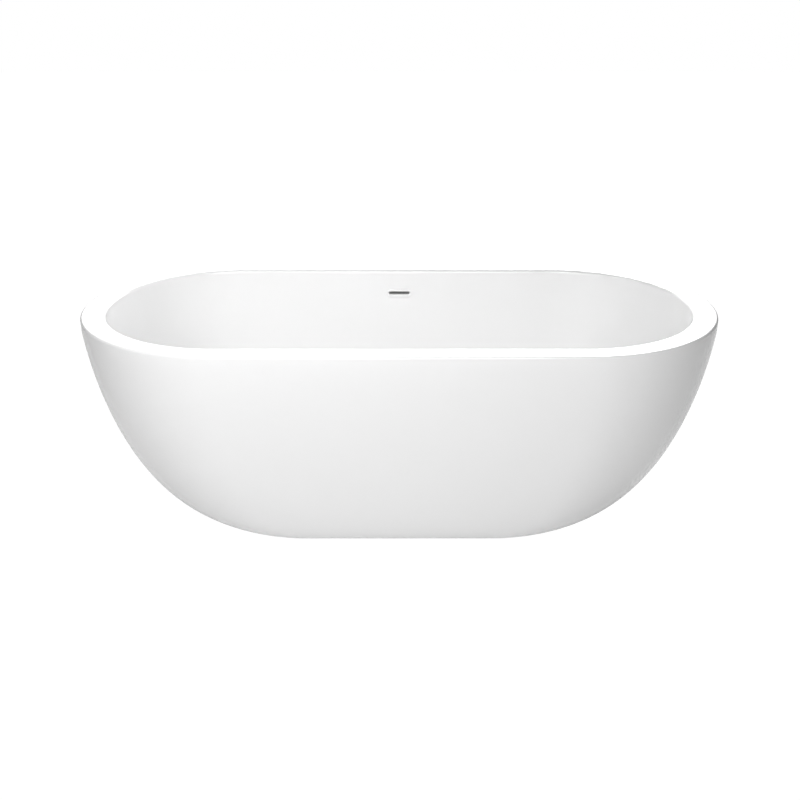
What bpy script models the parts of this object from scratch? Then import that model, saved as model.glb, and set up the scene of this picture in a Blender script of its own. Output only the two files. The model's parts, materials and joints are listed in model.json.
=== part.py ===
"""Freestanding double-walled bathtub, modelled as the pieces that it is assembled from.

The tub stands on the XY plane with +Z up and its long axis along X. Its origin is the centre of its
footprint, on the floor. The overflow slot is in the middle of the +Y wall. Sizes are in metres.

A one-piece basin with a flat rim hangs inside a tapering skirt. A board under the basin's floor is
screwed to a ladder frame of square tube, which stands on five levelling feet. The waste is in the
middle of the floor, and a hose between the two walls brings it the water from the overflow.
"""

from math import atan2, cos, pi, radians, sin, sqrt, tan

import bmesh
import bpy
from mathutils import Vector

# Overall sizes
LENGTH = 1.700
WIDTH = 0.800
BASIN_DEPTH = 0.430  # from the top of the rim to the basin's floor
FLOOR_HEIGHT = 0.150  # from the ground to the basin's floor

# Rim and walls
WALL = 0.006
RIM_WIDTH = 0.065
RIM_LIP = 0.014  # how far the basin's rim turns down over the skirt
RIM_OUTER_RADIUS = 0.006
RIM_INNER_RADIUS = 0.010
BOND_WIDTH = 0.012
BOND_HEIGHT = 0.024
BOND_GAP = 0.0008  # between the bond and the skirt, which leans in a little there

# Skirt: each wall falls on a curve that starts upright and ends flat on the ground
SKIRT_CLEARANCE = 0.005  # under the skirt's lower edge
SKIRT_LAND = 0.010  # upright band at the skirt's upper edge
SKIRT_SHOULDER = 0.055
SKIRT_END_TUCK = 0.390
SKIRT_END_BELLY = 0.053
SKIRT_SIDE_TUCK = 0.147
SKIRT_SIDE_BELLY = 0.060
SKIRT_FLANGE = 0.030

# Basin: each wall falls from the rim and sweeps into the floor
BASIN_SHOULDER = 0.170
BASIN_END_SLOPE = 0.030
BASIN_END_BELLY = 0.100
BASIN_END_SWEEP = 0.300
BASIN_SIDE_SLOPE = 0.018
BASIN_SIDE_BELLY = 0.045
BASIN_SIDE_SWEEP = 0.155
FLOOR_FALL = 0.003  # from the floor's edge to the waste

# Base board and frame
BOARD_THICKNESS = 0.015
BOARD_OVERHANG = 0.020
BOARD_CORNER = 0.040
TUBE = 0.025
TUBE_WALL = 0.002
TUBE_BEYOND_FOOT = 0.040
CENTRE_TUBE_OFFSET = 0.110
SCREW_RADIUS = 0.0025
SCREW_HEAD_RADIUS = 0.0045
SCREW_HEAD = 0.003
SCREW_BITE = 0.011
SCREW_INNER_SHARE = 0.26535  # each rail's inner pair of screws, as a share of the way to the feet
SCREW_OUTER_SHARE = 0.718

# Levelling feet
PAD_RADIUS = 0.025
PAD_HEIGHT = 0.008
SOCKET_RADIUS = 0.011
SOCKET_HEIGHT = 0.020
SOCKET_FLOOR = 0.005
FOOT_EDGE = 0.010  # least distance from a pad to the skirt's opening
RAIL_SETBACK = 0.048  # distance from a pad to the opening's straight side
STUD_RADIUS = 0.006
STUD_COLLAR = 0.008
STUD_COLLAR_FLATS = 0.015
STUD_END = 0.0135  # how far the stud stands up inside the tube
NUT_FLATS = 0.019
NUT_HEIGHT = 0.010
LOCKNUT_HEIGHT = 0.006

# Waste
WASTE_RECESS_RADIUS = 0.038
WASTE_RECESS_DEPTH = 0.0035
WASTE_HOLE_RADIUS = 0.024
WASTE_FLANGE_ROOM = 0.004  # between the flange and the edge of its recess
WASTE_FLANGE = 0.003
WASTE_TUBE_LENGTH = 0.033  # below the flange
WASTE_TUBE_WALL = 0.003
WASTE_SEAT_WIDTH = 0.004
TOP_GASKET = 0.0015
BOTTOM_GASKET = 0.003
SHOE_FLANGE = 0.004
SHOE_WALL = 0.0055
SHOE_ROOM = 0.0064  # between the tail nut and the hose's inlet
TAIL_ROOM = 0.004  # how much smaller the tailpiece is than the waste hole
TAIL_WALL = 0.0025
TAIL_BOTTOM = 0.010
TAIL_ENTRY = 0.008
TAIL_NUT_WALL = 0.0045
TAIL_NUT_GRIP = 0.010
TAIL_NUT_WEB = 0.004
TAIL_SEAL = 0.0054

# Pop-up plug, shown closed
PLUG_TRAVEL = 0.009
PLUG_RADIUS = 0.031
PLUG_EDGE = 0.002
PLUG_CROWN = 0.0025
PLUG_BOSS_RADIUS = 0.0095
PLUG_BOSS = 0.006
SEAL_THICKNESS = 0.0034
STEM_RADIUS = 0.003
PISTON_PLAY = 0.0007
PISTON_HEIGHT = 0.004
CARTRIDGE_RADIUS = 0.008
CARTRIDGE_WALL = 0.0015
CARTRIDGE_LID = 0.0028
CARTRIDGE_LENGTH = 0.0355
CARTRIDGE_COLLAR = 0.002
SPIDER_BAR = 0.003
SPIDER_HEIGHT = 0.005
SPIDER_DROP = 0.026  # from the waste flange's top to the spider's top
SPIDER_WALL = 0.003
SPRING_WIRE_RADIUS = 0.0005
SPRING_PLAY = 0.0020
SPRING_TURNS = 6

# Overflow
OVERFLOW_DROP = 0.070  # from the rim's top to the middle of the slot
TRIM_LENGTH = 0.074
TRIM_HEIGHT = 0.024
TRIM_THICKNESS = 0.0025
TRIM_BEVEL = 0.001
SLOT_LENGTH = 0.062
SLOT_HEIGHT = 0.009
SLOT_RAISE = 0.002
SPIGOT_WALL = 0.0015
SPIGOT_DEPTH = 0.012
HOUSING_ROOM = 0.006  # housing's depth beyond the hose's diameter
HOUSING_REACH = 0.006  # above and below the spigot
HOUSING_WALL = 0.003
HOUSING_FLANGE = 0.005
HOUSING_PLAY = 0.002  # round the trim's spigot
OVERFLOW_GASKET = 0.002
STUB_LENGTH = 0.022

# Hose between the overflow and the waste
HOSE_RADIUS = 0.014
HOSE_WALL = 0.002
HOSE_UNDER_FRAME = 0.006
SHOE_STUB_LENGTH = 0.032
UNION_LENGTH = 0.020
UNION_WALL = 0.0035

# Fits
GAP = 0.0003  # between pieces that touch
THREAD_GAP = 0.0004  # round a stud or a stem in its nut or guide
HOLE_GAP = 0.0005  # round a screw in its hole
CUT_OVERRUN = 0.004  # how far a cutter runs past what it cuts

# Smoothness
CAP_STEPS = 16  # points round each end of the stadium outline
SIDE_STEPS = 4  # points along each straight side
OUTLINE_POINTS = 2 * (CAP_STEPS + SIDE_STEPS)
SKIRT_STEPS = 11
BASIN_STEPS = 12
ROUND_STEPS = 3
TURNED_STEPS = 24
SMALL_STEPS = 12

HEIGHT = BASIN_DEPTH + FLOOR_HEIGHT

MATERIALS = {  # colour, roughness, metallic
    "acrylic": ((0.90, 0.90, 0.90), 0.12, 0.0),
    "laminate": ((0.72, 0.70, 0.62), 0.60, 0.0),
    "plywood": ((0.62, 0.45, 0.27), 0.65, 0.0),
    "frame_steel": ((0.55, 0.56, 0.57), 0.45, 1.0),
    "zinc": ((0.70, 0.71, 0.72), 0.35, 1.0),
    "foot_plastic": ((0.03, 0.03, 0.03), 0.55, 0.0),
    "rubber": ((0.02, 0.02, 0.02), 0.75, 0.0),
    "chrome": ((0.86, 0.87, 0.88), 0.06, 1.0),
    "brass": ((0.75, 0.56, 0.28), 0.30, 1.0),
    "pipe_plastic": ((0.78, 0.78, 0.76), 0.40, 0.0),
    "hose_plastic": ((0.60, 0.61, 0.62), 0.45, 0.0),
}


# ---------------------------------------------------------------- outlines and curves


def bezier(controls, t):
    """One coordinate of a cubic curve at t."""
    p0, p1, p2, p3 = controls
    return (1 - t) ** 3 * p0 + 3 * (1 - t) ** 2 * t * p1 + 3 * (1 - t) * t * t * p2 + t**3 * p3


def stadium(half_length, half_width, z):
    """A level outline with straight sides and half-round ends, anticlockwise from above."""
    straight = half_length - half_width
    points = []
    for side in (1, -1):
        for step in range(CAP_STEPS + 1):
            angle = -pi / 2 + pi * step / CAP_STEPS
            x = side * (straight + half_width * cos(angle))
            points.append(Vector((x, side * half_width * sin(angle), z)))
        for step in range(1, SIDE_STEPS):
            x = side * straight * (1 - 2 * step / SIDE_STEPS)
            points.append(Vector((x, side * half_width, z)))
    return points


def waste_circle(radius, z):
    """A circle whose points pair with those of a stadium outline."""
    first = SIDE_STEPS / 2 * 2 * pi / OUTLINE_POINTS - pi / 2
    angles = (first + 2 * pi * k / OUTLINE_POINTS for k in range(OUTLINE_POINTS))
    return [Vector((radius * cos(a), radius * sin(a), z)) for a in angles]


def circle(radius, z, steps):
    return [Vector((radius * cos(2 * pi * k / steps), radius * sin(2 * pi * k / steps), z)) for k in range(steps)]


def polygon(across_flats, sides, z, steps):
    """A regular polygon's outline with extra points along its sides, so that it pairs with a circle."""
    points = []
    for k in range(steps):
        angle = 2 * pi * k / steps
        past_flat = (angle % (2 * pi / sides)) - pi / sides
        radius = across_flats / 2 / cos(past_flat)
        points.append(Vector((radius * cos(angle), radius * sin(angle), z)))
    return points


def slot_outline(length, height, y, raised=0.0):
    """An upright outline with half-round ends in the XZ plane, for the overflow's pieces."""
    radius = height / 2
    points = []
    for side in (1, -1):
        for step in range(SMALL_STEPS // 2 + 1):
            angle = -pi / 2 + 2 * pi * step / SMALL_STEPS
            x = side * (length / 2 - radius + radius * cos(angle))
            points.append(Vector((x, y, raised + side * radius * sin(angle))))
    return points


# ---------------------------------------------------------------- the two walls' curves


def skirt_curve(t):
    """(set in from the end, set in from the side, height) on the skirt's outer face, top to bottom."""
    top = HEIGHT - RIM_LIP - GAP - SKIRT_LAND
    heights = (top, HEIGHT - SKIRT_SHOULDER, 0.0, SKIRT_CLEARANCE)
    end = bezier((0.0, 0.0, SKIRT_END_BELLY, SKIRT_END_TUCK), t)
    side = bezier((0.0, 0.0, SKIRT_SIDE_BELLY, SKIRT_SIDE_TUCK), t)
    return end, side, max(bezier(heights, t), SKIRT_CLEARANCE)


def basin_curve(t):
    """The same for the basin's inner face, from the rim's inner edge down to the floor."""
    heights = (HEIGHT - RIM_INNER_RADIUS, HEIGHT - RIM_INNER_RADIUS - BASIN_SHOULDER, FLOOR_HEIGHT, FLOOR_HEIGHT)
    end = bezier((0.0, BASIN_END_SLOPE, BASIN_END_BELLY, BASIN_END_SWEEP), t)
    side = bezier((0.0, BASIN_SIDE_SLOPE, BASIN_SIDE_BELLY, BASIN_SIDE_SWEEP), t)
    return end, side, bezier(heights, t)


def curve_at_height(curve, z):
    """The curve's parameter where it falls to a height."""
    low, high = 0.0, 1.0
    for _ in range(40):
        middle = (low + high) / 2
        if curve(middle)[2] > z:
            low = middle
        else:
            high = middle
    return low


# ---------------------------------------------------------------- making objects


def material(name):
    made = bpy.data.materials.get(name)
    if made is None:
        colour, roughness, metallic = MATERIALS[name]
        made = bpy.data.materials.new(name)
        made.use_nodes = True
        shader = made.node_tree.nodes["Principled BSDF"]
        shader.inputs["Base Color"].default_value = (*colour, 1.0)
        shader.inputs["Roughness"].default_value = roughness
        shader.inputs["Metallic"].default_value = metallic
        made.diffuse_color = (*colour, 1.0)
    return made


def loft(name, finish, rings, closed=False, capped=False, sharp=30.0):
    """An object whose skin joins each ring of points to the next. A closed loft joins the last ring to the
    first, as round a tube wall, and a capped one has a face on its first and its last ring."""
    mesh = bpy.data.meshes.new(name)
    build = bmesh.new()
    rows = [[build.verts.new(point) for point in ring] for ring in rings]
    count = len(rings[0])
    pairs = list(zip(rows, rows[1:])) + ([(rows[-1], rows[0])] if closed else [])
    for row, following in pairs:
        for k in range(count):
            ahead = (k + 1) % count
            build.faces.new((row[k], row[ahead], following[ahead], following[k]))
    if capped:
        build.faces.new(rows[0][::-1])
        build.faces.new(rows[-1])
    if closed or capped:
        bmesh.ops.recalc_face_normals(build, faces=build.faces)
    build.to_mesh(mesh)
    build.free()
    mesh.shade_smooth()
    mesh.set_sharp_from_angle(angle=radians(sharp))
    mesh.materials.append(material(finish))
    made = bpy.data.objects.new(name, mesh)
    bpy.context.scene.collection.objects.link(made)
    return made


def turned(name, finish, profile, hollow=False, steps=TURNED_STEPS):
    """A piece turned about Z from (radius, height) points. A hollow one's profile goes right round its wall."""
    rings = [circle(radius, z, steps) for radius, z in profile]
    return loft(name, finish, rings, closed=hollow, capped=not hollow)


def block(name, finish, size, centre):
    x, y, z = (side / 2 for side in size)
    corners = ((-x, -y), (x, -y), (x, y), (-x, y))
    rings = [[Vector((a, b, level)) for a, b in corners] for level in (-z, z)]
    made = loft(name, finish, rings, capped=True)
    made.location = centre
    return made


def cutter(made):
    made.hide_render = True
    made.display_type = "WIRE"
    return made


def combine(target, other, operation):
    """Joins another shape to the target, or cuts it out, and keeps the other as a hidden helper."""
    cutter(other)
    modifier = target.modifiers.new(f"{operation.lower()}_{other.name}", "BOOLEAN")
    modifier.operation = operation
    modifier.solver = "EXACT"
    modifier.object = other
    return target


def drill(target, radius, centre, length, steps=SMALL_STEPS):
    """An upright hole in the target."""
    name = f"drill_{target.name}_{len(target.modifiers)}"
    hole = turned(name, "zinc", ((radius, -length / 2), (radius, length / 2)), steps=steps)
    hole.location = centre
    return combine(target, hole, "DIFFERENCE")


def thicken(made):
    """Gives a sheet its wall, on the side away from its finished face."""
    modifier = made.modifiers.new("wall", "SOLIDIFY")
    modifier.thickness = WALL
    modifier.offset = -1.0
    modifier.use_even_offset = True
    modifier.use_quality_normals = True
    return made


# ---------------------------------------------------------------- skirt, basin and their joint


def make_outer_shell():
    end, side, low = skirt_curve(1.0)
    rings = [stadium(LENGTH / 2 - end - SKIRT_FLANGE, WIDTH / 2 - side - SKIRT_FLANGE, low)]
    for step in range(SKIRT_STEPS, -1, -1):
        end, side, z = skirt_curve(step / SKIRT_STEPS)
        rings.append(stadium(LENGTH / 2 - end, WIDTH / 2 - side, z))
    rings.append(stadium(LENGTH / 2, WIDTH / 2, HEIGHT - RIM_LIP - GAP))
    return thicken(loft("outer_shell", "acrylic", rings))


def basin_rings():
    """The basin's finished face, from the foot of the rim's lip over the rim and down to the waste hole."""
    rings = [stadium(LENGTH / 2, WIDTH / 2, HEIGHT - RIM_LIP)]
    for step in range(ROUND_STEPS + 1):
        angle = pi / 2 * step / ROUND_STEPS
        inset = RIM_OUTER_RADIUS * (1 - cos(angle))
        z = HEIGHT - RIM_OUTER_RADIUS * (1 - sin(angle))
        rings.append(stadium(LENGTH / 2 - inset, WIDTH / 2 - inset, z))
    inner_length, inner_width = LENGTH / 2 - RIM_WIDTH, WIDTH / 2 - RIM_WIDTH
    for step in range(ROUND_STEPS):
        angle = pi / 2 * step / ROUND_STEPS
        outset = RIM_INNER_RADIUS * (1 - sin(angle))
        z = HEIGHT - RIM_INNER_RADIUS * (1 - cos(angle))
        rings.append(stadium(inner_length + outset, inner_width + outset, z))
    for step in range(BASIN_STEPS + 1):
        end, side, z = basin_curve(step / BASIN_STEPS)
        rings.append(stadium(inner_length - end, inner_width - side, z))
    waste_z = FLOOR_HEIGHT - FLOOR_FALL
    edge, brink = rings[-1], waste_circle(WASTE_RECESS_RADIUS + WALL / 2, waste_z)
    rings.append([(a + b) / 2 for a, b in zip(edge, brink)])
    rings.append(brink)
    rings.append(waste_circle(WASTE_RECESS_RADIUS, waste_z - WASTE_RECESS_DEPTH))
    rings.append(waste_circle(WASTE_HOLE_RADIUS, waste_z - WASTE_RECESS_DEPTH))
    return rings


def make_basin(seat):
    basin = thicken(loft("basin", "acrylic", basin_rings()))
    spigot = SLOT_LENGTH + 2 * (SPIGOT_WALL + HOLE_GAP), SLOT_HEIGHT + 2 * (SPIGOT_WALL + HOLE_GAP)
    depths = (-CUT_OVERRUN, WALL + CUT_OVERRUN)
    rings = [slot_outline(*spigot, y, SLOT_RAISE) for y in depths]
    slot = loft("overflow_slot_cut", "acrylic", rings, capped=True)
    slot.parent = seat
    return combine(basin, slot, "DIFFERENCE")


def make_bond_strip():
    """The laminate that joins skirt and basin, in the corner under the rim."""
    outer = WALL + BOND_GAP
    top = HEIGHT - WALL - GAP
    corners = (
        (outer, top - BOND_HEIGHT),
        (outer, top),
        (outer + BOND_WIDTH, top),
        (outer + BOND_WIDTH, top - BOND_HEIGHT),
    )
    rings = [stadium(LENGTH / 2 - inset, WIDTH / 2 - inset, z) for inset, z in corners]
    return loft("rim_bond_strip", "laminate", rings, closed=True)


# ---------------------------------------------------------------- base board and frame

BOARD_TOP = FLOOR_HEIGHT - FLOOR_FALL - WALL - GAP
TUBE_TOP = BOARD_TOP - BOARD_THICKNESS - GAP
TUBE_BOTTOM = TUBE_TOP - TUBE
BOARD_HOLE_RADIUS = WASTE_RECESS_RADIUS + WALL + HOUSING_FLANGE

# The skirt's opening limits where a foot's pad can stand
OPENING_LENGTH = LENGTH / 2 - SKIRT_END_TUCK - SKIRT_FLANGE
OPENING_WIDTH = WIDTH / 2 - SKIRT_SIDE_TUCK - SKIRT_FLANGE
RAIL_Y = OPENING_WIDTH - PAD_RADIUS - RAIL_SETBACK
FOOT_X = (
    OPENING_LENGTH - OPENING_WIDTH + sqrt((OPENING_WIDTH - PAD_RADIUS - FOOT_EDGE) ** 2 - RAIL_Y**2)
)
RAIL_LENGTH = 2 * (FOOT_X + TUBE_BEYOND_FOOT)


def make_base_board():
    length = RAIL_LENGTH + 2 * BOARD_OVERHANG
    width = 2 * RAIL_Y + TUBE + 2 * BOARD_OVERHANG
    quarter = SMALL_STEPS // 4
    outline = []
    for turn, (x, y) in enumerate(((1, -1), (1, 1), (-1, 1), (-1, -1))):
        for step in range(quarter + 1):
            angle = pi / 2 * (turn - 1 + step / quarter)
            corner_x = x * (length / 2 - BOARD_CORNER) + BOARD_CORNER * cos(angle)
            corner_y = y * (width / 2 - BOARD_CORNER) + BOARD_CORNER * sin(angle)
            outline.append((corner_x, corner_y))
    rings = [[Vector((x, y, z)) for x, y in outline] for z in (BOARD_TOP - BOARD_THICKNESS, BOARD_TOP)]
    board = loft("base_board", "plywood", rings, capped=True)
    middle = Vector((0, 0, BOARD_TOP - BOARD_THICKNESS / 2))
    drill(board, BOARD_HOLE_RADIUS, middle, BOARD_THICKNESS + CUT_OVERRUN, TURNED_STEPS)
    for x, y in screw_places():
        bottom = Vector((x, y, BOARD_TOP - BOARD_THICKNESS))
        drill(board, SCREW_RADIUS + HOLE_GAP, bottom, 2 * (SCREW_BITE + HOLE_GAP), SMALL_STEPS // 2)
    return board


def screw_places():
    """Where a screw goes up through a rail into the board."""
    inner, outer = SCREW_INNER_SHARE * FOOT_X, SCREW_OUTER_SHARE * FOOT_X
    along = (-outer, -inner, inner, outer)
    return [(x, y) for y in (-RAIL_Y, RAIL_Y) for x in along]


def foot_places():
    """(x, y) of each foot: the rails' four corners, then the one under the centre tube."""
    corners = [(x, y) for x in (-FOOT_X, FOOT_X) for y in (-RAIL_Y, RAIL_Y)]
    return [*corners, (-CENTRE_TUBE_OFFSET, 0.0)]


def square_tube(name, length, along_y=False):
    """A level length of square tube. It is lofted standing up and then laid down."""
    outer, inner = TUBE / 2, TUBE / 2 - TUBE_WALL
    rings = []
    for half, end in ((outer, -1), (outer, 1), (inner, 1), (inner, -1)):
        corners = ((half, -half), (half, half), (-half, half), (-half, -half))
        rings.append([Vector((end * length / 2, y, z)) for y, z in corners])
    tube = loft(name, "frame_steel", rings, closed=True)
    if along_y:
        for vertex in tube.data.vertices:
            vertex.co = Vector((-vertex.co.y, vertex.co.x, vertex.co.z))
    return tube


def make_frame():
    level = TUBE_TOP - TUBE / 2
    for name, y in (("frame_rail_front", -RAIL_Y), ("frame_rail_back", RAIL_Y)):
        rail = square_tube(name, RAIL_LENGTH)
        rail.location = (0, y, level)
        for x, screw_y in screw_places():
            if screw_y == y:
                drill(rail, SCREW_RADIUS + HOLE_GAP, (x, y, level), TUBE + CUT_OVERRUN, SMALL_STEPS // 2)
        for x in (-FOOT_X, FOOT_X):
            drill(rail, STUD_RADIUS + HOLE_GAP, (x, y, TUBE_BOTTOM), 2 * TUBE_WALL + CUT_OVERRUN)
    width = 2 * (RAIL_Y - TUBE / 2 - GAP)
    crosses = (("left", -FOOT_X), ("centre", -CENTRE_TUBE_OFFSET), ("right", FOOT_X))
    for place, x in crosses:
        cross = square_tube(f"frame_cross_{place}", width, along_y=True)
        cross.location = (x, 0, level)
        if place == "centre":
            drill(cross, STUD_RADIUS + HOLE_GAP, (x, 0, TUBE_BOTTOM), 2 * TUBE_WALL + CUT_OVERRUN)


def make_frame_screws():
    head = TUBE_BOTTOM - GAP - SCREW_HEAD
    tip = BOARD_TOP - BOARD_THICKNESS + SCREW_BITE
    profile = (
        (SCREW_HEAD_RADIUS * 0.7, head),
        (SCREW_HEAD_RADIUS, head + SCREW_HEAD / 2),
        (SCREW_HEAD_RADIUS, head + SCREW_HEAD),
        (SCREW_RADIUS, head + SCREW_HEAD),
        (SCREW_RADIUS, tip - 2 * SCREW_RADIUS),
        (SCREW_RADIUS * 0.2, tip),
    )
    for number, (x, y) in enumerate(screw_places(), 1):
        screw = turned(f"frame_screw_{number}", "zinc", profile, steps=SMALL_STEPS // 2)
        screw.location = (x, y, 0)


# ---------------------------------------------------------------- levelling feet


def nut(name, top, height, flats, bore, finish):
    outer = [polygon(flats, 6, z, SMALL_STEPS) for z in (top - height, top)]
    inner = [circle(bore, z, SMALL_STEPS) for z in (top, top - height)]
    return loft(name, finish, outer + inner, closed=True)


def make_foot(number, x, y):
    """A pad that swivels on a threaded stud, and the two nuts that hold the stud to the frame."""
    axis = bpy.data.objects.new(f"foot_axis_{number}", None)
    axis.location = (x, y, 0)
    bpy.context.scene.collection.objects.link(axis)
    bore = STUD_RADIUS + THREAD_GAP
    rim = PAD_HEIGHT / 2
    pad_profile = (
        (PAD_RADIUS, 0.0),
        (PAD_RADIUS, rim),
        (PAD_RADIUS - rim, PAD_HEIGHT),
        (SOCKET_RADIUS, SOCKET_HEIGHT),
        (bore, SOCKET_HEIGHT),
        (bore, SOCKET_FLOOR),
    )
    pad = turned(f"foot_pad_{number}", "foot_plastic", pad_profile, steps=TURNED_STEPS)
    collar = SOCKET_HEIGHT + 2 * GAP
    top = TUBE_BOTTOM + STUD_END
    stud_rings = [
        circle(STUD_RADIUS * 0.8, SOCKET_FLOOR + GAP, SMALL_STEPS),
        circle(STUD_RADIUS, SOCKET_FLOOR + GAP + STUD_RADIUS * 0.2, SMALL_STEPS),
        circle(STUD_RADIUS, collar, SMALL_STEPS),
        polygon(STUD_COLLAR_FLATS, 6, collar, SMALL_STEPS),
        polygon(STUD_COLLAR_FLATS, 6, collar + STUD_COLLAR, SMALL_STEPS),
        circle(STUD_RADIUS, collar + STUD_COLLAR, SMALL_STEPS),
        circle(STUD_RADIUS, top - STUD_RADIUS * 0.2, SMALL_STEPS),
        circle(STUD_RADIUS * 0.8, top, SMALL_STEPS),
    ]
    stud = loft(f"foot_stud_{number}", "zinc", stud_rings, capped=True)
    weld_top = TUBE_BOTTOM - GAP
    lock_top = weld_top - NUT_HEIGHT - GAP
    weld_nut = nut(f"foot_weld_nut_{number}", weld_top, NUT_HEIGHT, NUT_FLATS, bore, "zinc")
    lock_nut = nut(f"foot_lock_nut_{number}", lock_top, LOCKNUT_HEIGHT, NUT_FLATS, bore, "zinc")
    for piece in (pad, stud, weld_nut, lock_nut):
        piece.parent = axis


# ---------------------------------------------------------------- waste

RECESS_Z = FLOOR_HEIGHT - FLOOR_FALL - WASTE_RECESS_DEPTH
FLANGE_BOTTOM = RECESS_Z + 2 * GAP + TOP_GASKET
FLANGE_TOP = FLANGE_BOTTOM + WASTE_FLANGE
TUBE_END = FLANGE_BOTTOM - WASTE_TUBE_LENGTH
WASTE_RADIUS = WASTE_HOLE_RADIUS - 5 * GAP
WASTE_BORE = WASTE_RADIUS - WASTE_TUBE_WALL
SPIDER_TOP = FLANGE_TOP - SPIDER_DROP
SHOE_TOP = RECESS_Z - WALL - 2 * GAP - BOTTOM_GASKET
SHOE_BORE = WASTE_RADIUS + GAP
SHOE_RADIUS = SHOE_BORE + SHOE_WALL
HOSE_Z = TUBE_BOTTOM - HOSE_UNDER_FRAME - HOSE_RADIUS
SHOE_BOTTOM = HOSE_Z - HOSE_RADIUS - SHOE_ROOM - TAIL_NUT_GRIP
WASTE_FLANGE_RADIUS = WASTE_RECESS_RADIUS - WASTE_FLANGE_ROOM
TAIL_RADIUS = WASTE_HOLE_RADIUS - TAIL_ROOM
PISTON_RADIUS = CARTRIDGE_RADIUS - CARTRIDGE_WALL - PISTON_PLAY
SPRING_RADIUS = CARTRIDGE_RADIUS - CARTRIDGE_WALL - SPRING_PLAY


def gasket(name, top, thickness, outer, inner, finish="rubber"):
    profile = ((outer, top - thickness), (outer, top), (inner, top), (inner, top - thickness))
    return turned(name, finish, profile, hollow=True)


def make_waste_flange():
    """The chrome fitting in the floor: a flange, a threaded tube and the spider that holds the cartridge."""
    seat = WASTE_BORE + WASTE_SEAT_WIDTH
    profile = (
        (WASTE_RADIUS, TUBE_END),
        (WASTE_RADIUS, FLANGE_BOTTOM),
        (WASTE_FLANGE_RADIUS, FLANGE_BOTTOM),
        (WASTE_FLANGE_RADIUS, FLANGE_TOP - WASTE_FLANGE / 2),
        (WASTE_FLANGE_RADIUS - WASTE_FLANGE / 2, FLANGE_TOP),
        (seat, FLANGE_TOP),
        (WASTE_BORE, FLANGE_TOP - WASTE_SEAT_WIDTH),
        (WASTE_BORE, TUBE_END),
    )
    flange = turned("waste_flange", "chrome", profile, hollow=True)
    reach = 2 * WASTE_BORE + WASTE_TUBE_WALL
    middle = (0, 0, SPIDER_TOP - SPIDER_HEIGHT / 2)
    hub_radius = CARTRIDGE_RADIUS + THREAD_GAP + SPIDER_WALL
    ends = ((hub_radius, -SPIDER_HEIGHT / 2), (hub_radius, SPIDER_HEIGHT / 2))
    hub = turned("spider_hub", "chrome", ends, steps=TURNED_STEPS)
    hub.location = middle
    for name, size in (("along", (reach, SPIDER_BAR)), ("across", (SPIDER_BAR, reach))):
        bar = block(f"spider_bar_{name}", "chrome", (*size, SPIDER_HEIGHT * 0.8), middle)
        combine(flange, bar, "UNION")
    combine(flange, hub, "UNION")
    drill(flange, CARTRIDGE_RADIUS + THREAD_GAP, middle, SPIDER_HEIGHT + CUT_OVERRUN, TURNED_STEPS)
    return flange


def make_waste_shoe():
    """The waste body under the floor, with a side inlet for the overflow hose."""
    profile = (
        (SHOE_RADIUS, SHOE_BOTTOM),
        (SHOE_RADIUS, SHOE_TOP - SHOE_FLANGE),
        (WASTE_FLANGE_RADIUS, SHOE_TOP - SHOE_FLANGE),
        (WASTE_FLANGE_RADIUS, SHOE_TOP),
    )
    shoe = turned("waste_shoe", "pipe_plastic", profile)
    end = SHOE_RADIUS + SHOE_STUB_LENGTH
    for name, radius, start, finish_y, operation in (
        ("waste_shoe_inlet", HOSE_RADIUS, 0.0, end, "UNION"),
        ("waste_shoe_inlet_bore", HOSE_RADIUS - HOSE_WALL, 0.0, end + CUT_OVERRUN, "DIFFERENCE"),
    ):
        rings = [
            [Vector((p.x, y, HOSE_Z + p.y)) for p in circle(radius, 0, TURNED_STEPS)]
            for y in (start, finish_y)
        ]
        combine(shoe, loft(name, "pipe_plastic", rings, capped=True), operation)
    length = SHOE_TOP - SHOE_BOTTOM
    middle = (0, 0, SHOE_BOTTOM + length / 2)
    return drill(shoe, SHOE_BORE, middle, length + CUT_OVERRUN, TURNED_STEPS)


def make_tailpiece():
    """The outlet pipe, and the nut and seal that hold it up into the shoe."""
    inner = TAIL_RADIUS - TAIL_WALL
    top = SHOE_BOTTOM + TAIL_ENTRY
    pipe = ((TAIL_RADIUS, TAIL_BOTTOM), (TAIL_RADIUS, top), (inner, top), (inner, TAIL_BOTTOM))
    turned("waste_tailpiece", "chrome", pipe, hollow=True)
    seal_top = SHOE_BOTTOM - GAP
    gasket("waste_tail_seal", seal_top, TAIL_SEAL, SHOE_RADIUS - GAP, TAIL_RADIUS + GAP)
    web_top = seal_top - TAIL_SEAL - GAP
    web_bottom = web_top - TAIL_NUT_WEB
    bore = SHOE_RADIUS + GAP
    grip = SHOE_BOTTOM + TAIL_NUT_GRIP
    nut_profile = (
        (bore + TAIL_NUT_WALL, web_bottom),
        (bore + TAIL_NUT_WALL, grip),
        (bore, grip),
        (bore, web_top),
        (TAIL_RADIUS + GAP, web_top),
        (TAIL_RADIUS + GAP, web_bottom),
    )
    turned("waste_tail_nut", "pipe_plastic", nut_profile, hollow=True)


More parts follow.
